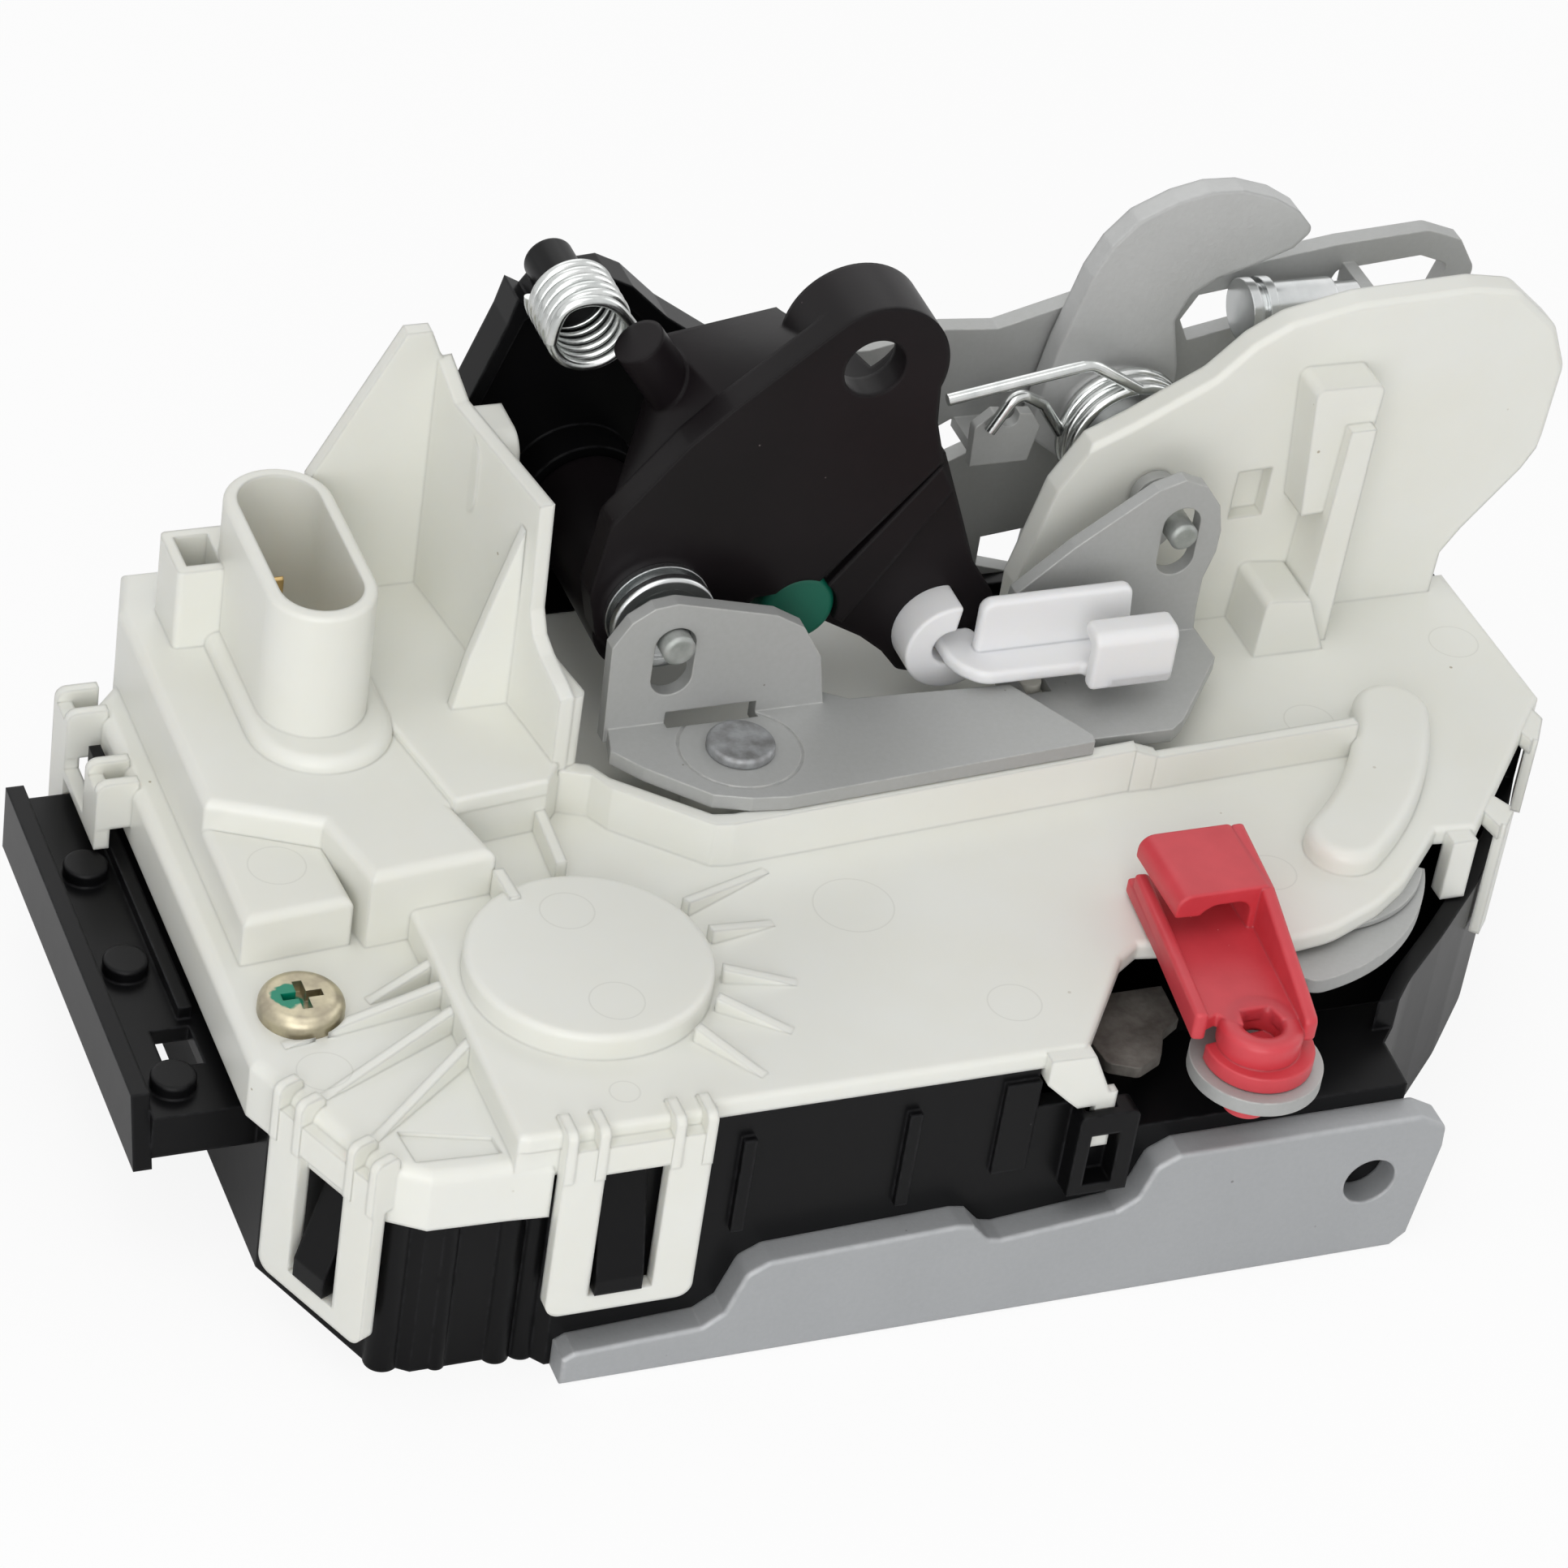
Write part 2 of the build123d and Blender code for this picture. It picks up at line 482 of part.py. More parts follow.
def tray_details():
    """Ribs, columns, snap wedges and the window bracket on the outside of the housing."""
    parts = block(-84.4, -82.8, 2.8, PLATE_T + 0.2, 6.0, 20.4)
    parts += block(-63.4, -61.8, 2.8, PLATE_T + 0.2, 6.0, 20.4)
    parts += block(-51.2, -46.7, 3.0, PLATE_T + 0.2, 8.6, 22.6)
    bracket = block(-41.6, -33.8, 0.8, PLATE_T + 0.2, 5.0, 17.6)
    bracket = fillet(bracket.edges().filter_by(Axis.Y).group_by(Axis.Z)[-1], 1.0)
    bracket -= block(-39.8, -36.0, 0.0, PLATE_T, 6.4, 14.4)
    bracket -= block(-40.6, -36.4, 2.0, PLATE_T, 14.0, 18.0)
    parts += bracket
    for x, radius in ((-124.2, 2.2), (-118.2, 1.2), (-110.8, 1.8), (-107.6, 1.8)):
        parts += front_column(x, radius)
    wedge = side([(PLATE_T + 0.3, 1.6), (0.4, 1.6), (0.4, 3.8), (PLATE_T + 0.3, 19.5)], -101.8, -95.9)
    parts += wedge
    angle = math.degrees(math.atan2(-20.0, 9.0))
    chamfer_wedge = side([(0.6, -19.8), (-4.9, -19.8), (-4.9, -17.0), (0.6, -2.6)], -2.6, 2.6)
    parts += Pos(-128.6, 14.5, 18.2) * Rot(0, 0, angle) * chamfer_wedge
    return parts + block(-139.4, -137.9, 85.6, 91.2, 10.4, 19.0)


def front_column(x, radius):
    """One round column on the left part of the front wall."""
    return post(x, 6.9 if x > -124.0 else 9.0, BASE_Z, SKIRT_Z - 0.5, radius)


def tray_inside():
    """Bosses and cradles for the motor, the wheel, the levers and the screws."""
    screw_boss = post(SCREW_X, SCREW_Y, TRAY_FLOOR - 0.5, LOW_UNDER - 0.1, 4.4)
    screw_boss -= post(SCREW_X, SCREW_Y, 0.0, LOW_UNDER + 1.0, 2.0)
    cradles = Part()
    for x in (MOTOR_X0 + 5.0, MOTOR_X0 + MOTOR_LEN - 5.0):
        cradle = block(x - 1.2, x + 1.2, WORM_Y - 14.0, WORM_Y + 14.0, TRAY_FLOOR - 0.5, 4.0)
        cradles += cradle - rod_x(x - 3.0, x + 3.0, WORM_Y, WORM_Z, MOTOR_R)
    key_boss = post(KEY_X, KEY_Y, TRAY_FLOOR - 0.5, KEY_Z - 0.1, 5.0) - post(KEY_X, KEY_Y, 8.0, KEY_Z + 1.0, 3.0)
    wheel_boss = post(WHEEL_X, WHEEL_Y, TRAY_FLOOR - 0.5, 1.2, 5.0) - post(WHEEL_X, WHEEL_Y, -8.0, 2.0, 2.0)
    rails = block(-60.0, -28.0, PEG_Y - 5.4, PEG_Y - 3.3, TRAY_FLOOR - 0.5, 20.0)
    rails += block(-60.0, -28.0, PEG_Y + 3.3, PEG_Y + 5.4, TRAY_FLOOR - 0.5, 20.0)
    shelf = block(-60.0, -28.0, PEG_Y - 5.4, PEG_Y + 5.4, SLIDER_Z - 2.4, SLIDER_Z - 0.3)
    rack_guide = block(-114.0, -110.0, RACK_Y - 1.0, RACK_Y + 7.0, TRAY_FLOOR - 0.5, SLIDER_Z - 0.3)
    return screw_boss + cradles + key_boss + wheel_boss + rails + shelf + rack_guide


def make_black_housing():
    """Housing under the cover, with its rail and bosses."""
    housing = tray_shell() + right_block() + guide_rail() + tray_details() + tray_inside()
    for x, y in LEG_SCREWS:
        housing += post(x, y, TRAY_FLOOR + 1.0, 3.5, 4.0)
        housing -= post(x, y, BASE_Z - 1.0, 2.5, 1.8)
    for x, z in ((-4.0, 4.0), (32.0, 4.0), (-86.0, 4.0), (-50.0, 4.0)):
        housing -= rod_y(x, z, BACK_Y - 3.0, BACK_Y + 1.0, 1.6)
    return housing


def make_mounting_plate():
    """Stamped steel flange with the bolt hole and a leg that turns under the housing."""
    outline = [(-104.8, BASE_Z), (-104.8, -8.0), (-103.4, -7.2), (-87.4, -6.4), (-84.8, -4.6), (-82.6, 1.2),
               (-79.8, 2.7), (-55.6, 3.6), (-53.6, 3.2), (-51.4, 0.6), (-49.6, 0.2), (-34.6, 1.8),
               (-32.0, 3.4), (-30.4, 8.0), (-27.4, FLANGE_TOP), (5.4, FLANGE_TOP), (9.2, 7.4), (9.4, 4.0),
               (7.4, -10.2), (5.4, BASE_Z)]
    bends = [outline[k] for k in (5, 6, 7, 9, 10, 12, 13, 15, 16)]
    flange = upright(outline, 0.0, PLATE_T, 1.6, bends)
    flange = fillet(flange.faces().sort_by(Axis.Y)[0].edges(), 0.5)
    hole = rod_y(0, 0, -1.0, PLATE_T + 1.0, BOLT_HOLE_R)
    leg = flat([(-40.0, 2.0), (-0.5, 2.0), (-2.5, 36.0), (-38.0, 36.0)], BASE_Z, LEG_TOP)
    for x, y in LEG_SCREWS:
        leg -= Pos(x, y, BASE_Z + 1.1) * Cone(3.6, 2.1, 2.2)
        leg -= post(x, y, BASE_Z - 1.0, LEG_TOP + 1.0, 2.1)
    return flange + leg - hole


def make_plate_screws():
    """Countersunk screws that hold the flange's leg to the housing from below."""
    screws = []
    for x, y in LEG_SCREWS:
        head = Pos(x, y, BASE_Z + 1.0) * Cone(3.3, 1.8, 2.0)
        shank = post(x, y, BASE_Z + 1.5, 2.0, 1.8)
        slot = block(x - 2.2, x + 2.2, y - 0.4, y + 0.4, BASE_Z - 1, BASE_Z + 0.9)
        screws.append(head + shank - slot)
    return Compound(children=screws)


def screw_x_recess(x, y, z, size, depth):
    """Cross recess of a screw head."""
    recess = block(x - size, x + size, y - size / 4.2, y + size / 4.2, z - depth, z + 1.0)
    return recess + block(x - size / 4.2, x + size / 4.2, y - size, y + size, z - depth, z + 1.0)


def make_cover_screw():
    """Pan-head screw that holds the cover to the housing."""
    head = post(SCREW_X, SCREW_Y, LOW_Z, LOW_Z + 2.6, SCREW_HEAD_R)
    head = soft_top(head, 1.5)
    shank = post(SCREW_X, SCREW_Y, 1.0, LOW_Z + 0.5, 2.0)
    return head + shank - screw_x_recess(SCREW_X, SCREW_Y, LOW_Z + 2.6, 2.5, 1.7)


def make_connector_terminals():
    """Four brass blades that stand up in the connector."""
    blades = []
    for y in (74.6, 80.6, 86.6, 92.6):
        blade = block(SHROUD_X - 1.4, SHROUD_X + 1.4, y - 0.4, y + 0.4, HIGH_Z - 4.0, HIGH_Z + 8.0)
        blades.append(chamfer(blade.edges().filter_by(Axis.X).group_by(Axis.Z)[-1], 0.3))
    return Compound(children=blades)


def make_outside_lever():
    """Bell-crank lever: thick body, ear with its hole, offset arm, hub and spring stub."""
    front = [(-84.0, 50.4), (-82.4, 60.6), (-73.6, 71.3), (-68.5, 76.1), (-56.4, 86.2), (-50.0, 86.0),
             (-42.0, 82.0), (-41.2, 70.9), (-39.4, 64.8), (-54.2, 47.6), (-62.0, 47.0), (-70.0, 38.4),
             (-78.0, 38.4), (-82.6, 44.0)]
    face = upright(front, LEVER_FRONT, LEVER_FRONT + 4.0, 1.6, [front[k] for k in (0, 1, 3, 7, 11, 12, 13)])
    ear = rod_y(EAR_X, EAR_Z, LEVER_FRONT, LEVER_FRONT + 10.0, EAR_R)
    near = Plane.XZ.offset(-(LEVER_FRONT + 3.5)) * make_face(Polyline(
        (-82.4, 52.0), (-81.4, 60.6), (-68.8, 75.2), (-56.4, 84.8), (-44.0, 72.0), (-47.0, 52.0), close=True))
    far = Plane.XZ.offset(-LEVER_BACK) * make_face(Polyline(
        (-74.6, 56.0), (-73.6, 66.0), (-72.4, 76.6), (-54.0, 79.6), (-47.0, 72.0), (-50.0, 56.0), close=True))
    body = loft([near, far], ruled=True) + ear
    body -= rod_y(EAR_X, EAR_Z, LEVER_FRONT + 3.9, LEVER_BACK + 1.0, EAR_R - 1.8)
    hub = rod_y(LEVER_X, LEVER_Z, LEVER_FRONT + 1.0, BACK_Y - 2.0, 7.4)
    arm_line = [(-62.0, 47.0), (-38.6, 65.0), (-35.0, 55.4), (-32.1, 47.5), (-28.4, 41.9), (-29.6, 35.4),
                (-33.4, 31.4), (-37.0, 30.6), (-40.2, 31.6), (-42.7, 34.8), (-46.0, 37.6), (-54.0, 42.4)]
    arm = upright(arm_line, LEVER_FRONT + 1.6, LEVER_FRONT + 5.6, 1.8, arm_line[4:9])
    crest = upright([(-54.6, 44.6), (-39.4, 64.2), (-37.2, 60.2), (-49.6, 41.4)], LEVER_FRONT, LEVER_FRONT + 2.2)
    stub = Pos(-73.4, 81.6, 73.8) * Rot(0, -34.4, 0) * Cylinder(3.3, 13.0)
    lever = face + body + hub + arm + crest + stub
    lever -= rod_y(LEVER_X, LEVER_Z, LEVER_FRONT + 4.0, BACK_Y, PIVOT_R + FIT)
    lever -= rod_y(EAR_HOLE_X, EAR_HOLE_Z, LEVER_FRONT - 1.0, LEVER_FRONT + 20.0, EAR_HOLE_R)
    lever -= rod_y(LEVER_X, GUIDE_Z, LEVER_FRONT - 1.0, LEVER_FRONT + 2.0, GUIDE_PIN_R)
    lever -= rod_y(BUMPER_X, BUMPER_Z, LEVER_FRONT - 1.0, LEVER_FRONT + 6.0, BUMPER_R)
    return lever - rod_y(CLIP_X, CLIP_Z, LEVER_FRONT - 1.0, LEVER_FRONT + 7.0, 2.4)


def make_pivot_shaft():
    """Steel shaft that the outside lever turns on."""
    shaft = rod_y(LEVER_X, LEVER_Z, LEVER_FRONT + 4.4, BACK_Y + 10.0, PIVOT_R)
    return shaft


def make_guide_pin():
    """Pin fixed in the outside lever that works in the slot of the release lever."""
    pin = rod_y(LEVER_X, GUIDE_Z, 60.6, LEVER_FRONT + 2.0, GUIDE_PIN_R)
    return chamfer(pin.edges().group_by(Axis.Y)[0], 0.4)


def make_pivot_bush():
    """Grooved zinc bush on the guide pin."""
    bush = rod_y(LEVER_X, GUIDE_Z, 66.4, LEVER_FRONT - 0.02, BUSH_R)
    bush = fillet(bush.edges().group_by(Axis.Y)[0], 0.5)
    groove = rod_y(LEVER_X, GUIDE_Z, 67.6, 69.0, BUSH_R + 1.0) - rod_y(LEVER_X, GUIDE_Z, 67.0, 69.4, BUSH_R - 1.3)
    dish = rod_y(LEVER_X, GUIDE_Z, 66.0, 66.9, 5.2)
    return bush - groove - dish - rod_y(LEVER_X, GUIDE_Z, 66.0, 71.0, GUIDE_PIN_R)


def make_bumper_disc():
    """Round bumper held in the lower edge of the outside lever."""
    disc = rod_y(BUMPER_X, BUMPER_Z, LEVER_FRONT + 0.6, LEVER_FRONT + 6.0, BUMPER_R)
    return fillet(disc.edges().group_by(Axis.Y)[0], 0.9)


def make_release_lever():
    """Stamped lever: flat tongue, relief slot, rivet hole and upright slotted ear."""
    tongue = flat([(-82.4, 63.0), (-83.6, 58.4), (-80.6, 54.4), (-74.0, 47.8), (-69.4, 46.2), (-64.6, 45.6),
                   (-22.9, 48.4), (-22.6, 49.8), (-29.2, 61.4), (-50.6, 62.6), (-53.4, 64.5), (-82.4, 64.5)],
                  RELEASE_Z, RELEASE_Z + SHEET_T)
    ear = upright([(-83.0, RELEASE_Z), (-83.4, 47.7), (-81.2, 51.2), (-78.4, 53.0), (-75.4, 53.4),
                   (-62.0, 49.8), (-58.2, 47.4), (-55.4, 42.6), (-53.8, RELEASE_Z)], EAR_Y, EAR_Y + SHEET_T)
    ear = fillet(ear.edges().filter_by(Axis.Y).group_by(Axis.Z)[-1], 1.6)
    lever = tongue + ear
    lever -= slot_xz(LEVER_X + 0.1, 44.6, 5.4, 10.2, EAR_Y - 1.0, EAR_Y + 4.0)
    lever -= block(-75.2, -63.2, 61.4, 65.4, RELEASE_Z - 1.0, RELEASE_Z + 3.6)
    ring = post(RIVET_X, RIVET_Y, RELEASE_Z + SHEET_T - 0.15, RELEASE_Z + 3.0, 7.9)
    ring -= post(RIVET_X, RIVET_Y, RELEASE_Z, RELEASE_Z + 4.0, 7.6)
    return lever - ring - post(RIVET_X, RIVET_Y, RELEASE_Z - 1.0, RELEASE_Z + 3.0, 2.5 + FIT)


def make_release_rivet():
    """Rivet with a low head over the release lever and its shank in the cover's boss."""
    seat = RELEASE_Z + SHEET_T
    head = soft_top(post(RIVET_X, RIVET_Y, seat + 0.1, seat + 1.3, 4.3), 0.5)
    return head + post(RIVET_X, RIVET_Y, DECK_UNDER - 1.5, seat + 0.5, 2.5)


def make_lock_lever():
    """Second stamped lever: flat plate, tall slotted ear and slot for the drive peg."""
    plate = flat([(-36.2, 54.6), (-34.0, 51.8), (-10.4, 51.6), (-8.2, 53.2), (1.2, 64.5), (1.0, LOCK_EAR_Y + 2.0),
                  (-27.0, LOCK_EAR_Y + 2.0), (-28.9, 63.6), (-35.4, 60.8)], LOCK_Z, LOCK_Z + SHEET_T)
    ear = upright([(-27.0, LOCK_Z), (-25.6, 42.0), (-18.5, 48.3), (-11.1, 53.7), (-8.2, 55.8), (-4.6, 57.0),
                   (-1.4, 55.6), (0.9, 52.4), (1.8, 48.4), (1.7, 45.0), (0.6, 41.0), (0.6, 36.0), (1.0, LOCK_Z)],
                  LOCK_EAR_Y, LOCK_EAR_Y + SHEET_T)
    lever = plate + ear
    lever -= slot_xz(CRANK_X + 0.1, 47.4, 5.2, 10.4, LOCK_EAR_Y - 1.0, LOCK_EAR_Y + 4.0)
    lever -= block(PEG_X - PEG_R - 0.25, PEG_X + PEG_R + 0.25, PEG_Y - 3.0, PEG_Y + 2.0, LOCK_Z - 1, LOCK_Z + 3)
    return lever - post(LOCK_X, LOCK_Y, LOCK_Z - 1.0, LOCK_Z + 3.0, 2.5 + FIT)


def make_lock_rivet():
    """Flush rivet that the lock lever turns on."""
    return post(LOCK_X, LOCK_Y, DECK_UNDER - 1.5, LOCK_Z + SHEET_T, 2.5)


def make_lock_crank():
    """Small crank between the lock lever's ear and the guard."""
    web = slot_xz(CRANK_X, CRANK_Z + CRANK_ARM / 2, 6.4, CRANK_ARM + 6.4, CRANK_Y, CRANK_Y + 1.6)
    web -= rod_y(CRANK_X, CRANK_Z, CRANK_Y - 1.0, CRANK_Y + 3.0, CRANK_PIVOT_R + FIT)
    return web - rod_y(CRANK_X, CRANK_Z + CRANK_ARM, CRANK_Y - 1.0, CRANK_Y + 3.0, PIN_NECK_R)


def make_crank_pivot():
    """Pin in the guard that the crank turns on."""
    return rod_y(CRANK_X, CRANK_Z, CRANK_Y, GUARD_BACK, CRANK_PIVOT_R)


def make_lock_pin():
    """Pin of the crank, seen in the slot of the lock lever."""
    pin = rod_y(CRANK_X, CRANK_Z + CRANK_ARM, 69.0, CRANK_Y, LOCK_PIN_R)
    pin = chamfer(pin.edges().group_by(Axis.Y)[0], 0.4)
    return pin + rod_y(CRANK_X, CRANK_Z + CRANK_ARM, CRANK_Y - 0.5, CRANK_Y + 1.6, PIN_NECK_R)


def make_claw():
    """Cast hook with its hub on the stud."""
    line = [(-15.6, 49.0), (-14.6, 56.0), (-13.4, 62.4), (-10.6, 73.0), (-8.6, 77.2), (-5.4, 80.8),
            (-0.4, 83.2), (4.0, 84.2), (8.6, 84.0), (13.4, 82.4), (17.2, 80.0), (19.8, 77.0),
            (17.4, 74.4), (12.7, 72.5), (7.3, 70.8), (4.0, 68.6), (2.4, 64.8), (4.0, 57.8), (4.6, 50.0),
            (1.0, 43.0), (-7.0, 42.0)]
    hook = upright(line, CLAW_Y, CLAW_Y + CLAW_T, 1.3, line[:4] + line[5:7] + line[9:12] + line[14:])
    hub = rod_y(CLAW_X, CLAW_Z, CLAW_Y - 0.6, CLAW_Y + CLAW_T, 7.0)
    return hook + hub - rod_y(CLAW_X, CLAW_Z, CLAW_Y - 2.0, CLAW_Y + 5.0, STUD_R + FIT)


def make_claw_stud():
    """Stud in the loop plate that carries the coil and the claw."""
    stud = rod_y(CLAW_X, CLAW_Z, COIL_Y - 1.6, BACK_Y + LOOP_T, STUD_R)
    return chamfer(stud.edges().group_by(Axis.Y)[0], 0.8)


def make_loop_plate():
    """Steel back plate with its cut-outs, the wide loop at the right and the spring tab."""
    body = upright([(-46.0, 62.4), (-38.0, 62.2), (-28.0, 64.2), (-20.5, 63.5), (-10.1, 66.4), (2.0, 67.6),
                    (10.0, 68.2), (15.6, 69.8), (26.7, 71.4), (39.5, 72.2), (44.6, 70.2), (47.4, 65.6),
                    (46.6, 61.6), (40.0, 57.6), (26.0, 54.0), (6.0, 50.0), (0.0, 38.0), (2.0, 24.0),
                    (36.0, 12.0), (36.0, -2.0), (-10.0, -2.0), (-14.0, 22.0), (-24.0, 29.0), (-40.0, 40.0),
                    (-46.0, 50.0)], BACK_Y, BACK_Y + LOOP_T, 2.2,
                   [(39.5, 72.2), (47.4, 65.6), (46.6, 61.6), (40.0, 57.6), (26.0, 54.0), (6.0, 50.0)])
    cuts = upright([(-26.6, 42.2), (-21.0, 44.6), (-21.0, 48.6), (-25.0, 50.0), (-29.6, 47.4)],
                   BACK_Y - 1, BACK_Y + LOOP_T + 1)
    cuts += upright([(-17.6, 25.6), (-11.0, 23.4), (-10.4, 31.0), (-17.6, 30.2)], BACK_Y - 1, BACK_Y + LOOP_T + 1)
    cuts += upright([(5.4, 62.0), (7.0, 58.6), (17.0, 60.6), (19.4, 66.0), (12.0, 66.2), (7.4, 65.6)],
                    BACK_Y - 1, BACK_Y + LOOP_T + 1)
    cuts += upright([(27.0, 67.4), (23.6, 60.0), (41.6, 61.0), (43.4, 66.6), (39.0, 68.4)],
                    BACK_Y - 1, BACK_Y + LOOP_T + 1, 1.0)
    tab = upright([(-25.6, 48.6), (-25.8, 54.6), (-23.4, 56.6), (-18.0, 56.0), (-16.6, 53.8), (-17.6, 48.6)],
                  BACK_Y - 8.6, BACK_Y - 7.0, 0.9, [(-25.8, 54.6), (-16.6, 53.8)])
    tab += block(-24.6, -18.4, BACK_Y - 8.6, BACK_Y + 0.5, 48.6, 50.2)
    tab -= slot_xz(-21.0, 56.8, 2.4, 5.0, BACK_Y - 9, BACK_Y - 6)
    plate = body - cuts + tab
    plate += block(27.6, 29.4, 90.0, BACK_Y + 0.5, 61.8, 68.4)
    plate -= rod_x(26.0, 31.0, 93.0, 66.2, 1.8)
    plate -= rod_y(CLAW_X, CLAW_Z, BACK_Y - 1.0, BACK_Y + 5.0, STUD_R)
    for x, z in ((-4.0, 4.0), (32.0, 4.0)):
        plate -= rod_y(x, z, BACK_Y - 1.0, BACK_Y + 5.0, 2.0)
    return plate


def make_stop_stud():
    """Flanged steel stud that the claw comes to rest on."""
    stud = rod_x(11.0, 29.4, 93.0, 66.2, 1.8) + rod_x(11.0, 23.6, 93.0, 66.2, 3.3)
    stud += rod_x(23.4, 27.4, 93.0, 66.2, 2.5)
    for x in (11.0, 13.4):
        stud += rod_x(x, x + 1.3, 93.0, 66.2, 4.2)
    return stud


def coil(centre, radius, wire, pitch, turns, lean=0.0):
    """Close-wound wire coil along Y."""
    path = Helix(pitch=pitch, height=pitch * turns, radius=radius)
    start = path @ 0
    section = Plane(origin=start, z_dir=path % 0) * Circle(wire / 2)
    body = sweep(section, path=path)
    return Pos(*centre) * Rot(0, 0, lean) * Rot(-90, 0, 0) * body


def wire_run(points, wire, radius):
    """Bent wire through given points."""
    path = FilletPolyline(*points, radius=radius)
    section = Plane(origin=path @ 0, z_dir=path % 0) * Circle(wire / 2)
    return sweep(section, path=path)


def make_return_spring():
    """Coil that returns the outside lever."""
    return coil((-81.0, 87.2, 77.0), 4.9, 1.45, 1.6, 5.5)


def make_claw_spring():
    """Coil round the claw stud with its straight leg and its hooked leg."""
    wind = coil((CLAW_X, COIL_Y, CLAW_Z), 8.2, 1.6, 1.75, 3.0)
    straight = wire_run([(-4.6, 87.2, 59.6), (-12.0, 87.2, 64.4), (-31.5, 87.2, 61.2)], 1.6, 3.0)
    hook = wire_run([(-12.8, 90.6, 51.4), (-17.0, 89.0, 57.6), (-21.4, 88.0, 60.6), (-24.4, 88.0, 55.0)], 1.6, 1.6)
    return wind + straight + hook


def make_white_rod_clip():
    """White rod clip: open clasp on the arm, channel and front hook."""
    clasp = rod_y(CLIP_X, CLIP_Z + 0.6, 66.4, LEVER_FRONT + 1.5, 6.2)
    clasp = fillet(clasp.edges().group_by(Axis.Y)[0], 1.0)
    clasp -= rod_y(CLIP_X + 3.4, CLIP_Z + 1.4, 65.0, LEVER_FRONT, 2.7)
    clasp -= upright([(CLIP_X + 1.6, CLIP_Z + 2.0), (CLIP_X + 0.4, CLIP_Z + 9.0), (CLIP_X + 8.0, CLIP_Z + 9.0),
                      (CLIP_X + 8.0, CLIP_Z + 2.6)], 65.0, LEVER_FRONT)
    pin = rod_y(CLIP_X, CLIP_Z, 70.0, LEVER_FRONT + 6.6, 2.4 - FIT)
    floor = flat([(-36.4, 68.6), (-35.0, 62.0), (-33.0, 60.6), (-20.0, 60.4), (-17.6, 57.0), (-8.0, 57.6),
                  (-9.6, 66.6), (-30.0, 68.0)], 36.0, 38.0, 0.5)
    floor += block(-35.4, -31.0, 66.6, 70.6, 32.6, 37.8)
    back = upright([(-32.6, 36.2), (-32.4, 44.6), (-30.6, 45.6), (-13.4, 45.6), (-11.6, 44.0), (-12.2, 36.2)],
                   65.0, 67.0, 0.8, [(-32.4, 44.6), (-13.4, 45.6), (-11.6, 44.0)])
    hook = upright([(-20.4, 36.2), (-19.6, 43.0), (-17.8, 44.4), (-10.0, 44.2), (-8.6, 42.2), (-9.4, 36.2)],
                   57.0, 59.0, 0.8, [(-19.6, 43.0), (-8.6, 42.2)])
    roof = block(-19.2, -9.4, 57.2, 61.0, 42.6, 44.2)
    hook += fillet(roof.edges().filter_by(Axis.X).group_by(Axis.Z)[-1], 0.8)
    return clasp + pin + floor + back + hook


def make_red_rod_clip():
    """Red rod clip standing on the key lever's end, with a hooked channel for the rod."""
    base = post(KEY_END_X, KEY_END_Y, KEY_Z + 2.1, KEY_Z + 4.6, 6.4)
    base -= flat([(-30.0, 1.0), (-22.6, 2.6), (-20.0, 12.0), (-30.0, 12.0)], 20.0, 30.0)
    base = fillet(base.edges().group_by(Axis.Z)[-1], 0.7)
    peg = post(KEY_END_X, KEY_END_Y, KEY_Z - 5.4, KEY_Z + 3.0, 3.0 - FIT)
    floor = flat([(-25.2, 29.8), (-26.6, 5.0), (-22.6, 3.4), (-15.4, 2.0), (-13.2, 4.6), (-11.6, 30.4),
                  (-23.0, 31.4)], 27.0, 29.0, 0.9)
    wall = flat([(-15.4, 2.0), (-13.0, 1.4), (-11.2, 12.0), (-10.8, 30.4), (-13.4, 31.0), (-13.0, 12.0)],
                27.0, 35.0, 0.8)
    hook = flat([(-25.0, 28.0), (-26.2, 16.2), (-13.8, 16.8), (-11.0, 18.4), (-10.8, 30.4), (-18.0, 31.2),
                 (-23.0, 30.8)], 33.3, 35.4, 1.2)
    hook = fillet(hook.edges().group_by(Axis.Z)[-1], 0.9)
    lip = flat([(-25.6, 27.4), (-26.0, 16.8), (-23.8, 16.8), (-23.4, 27.4)], 31.4, 33.6)
    stem = flat([(-17.4, 3.2), (-22.0, 4.0), (-21.0, -2.0), (-15.6, -2.0)], KEY_Z + 3.0, 27.6)
    clip = base + peg + floor + wall + hook + lip + stem
    return clip - post(KEY_END_X + 0.8, KEY_END_Y + 5.4, 24.4, 31.0, 2.5)


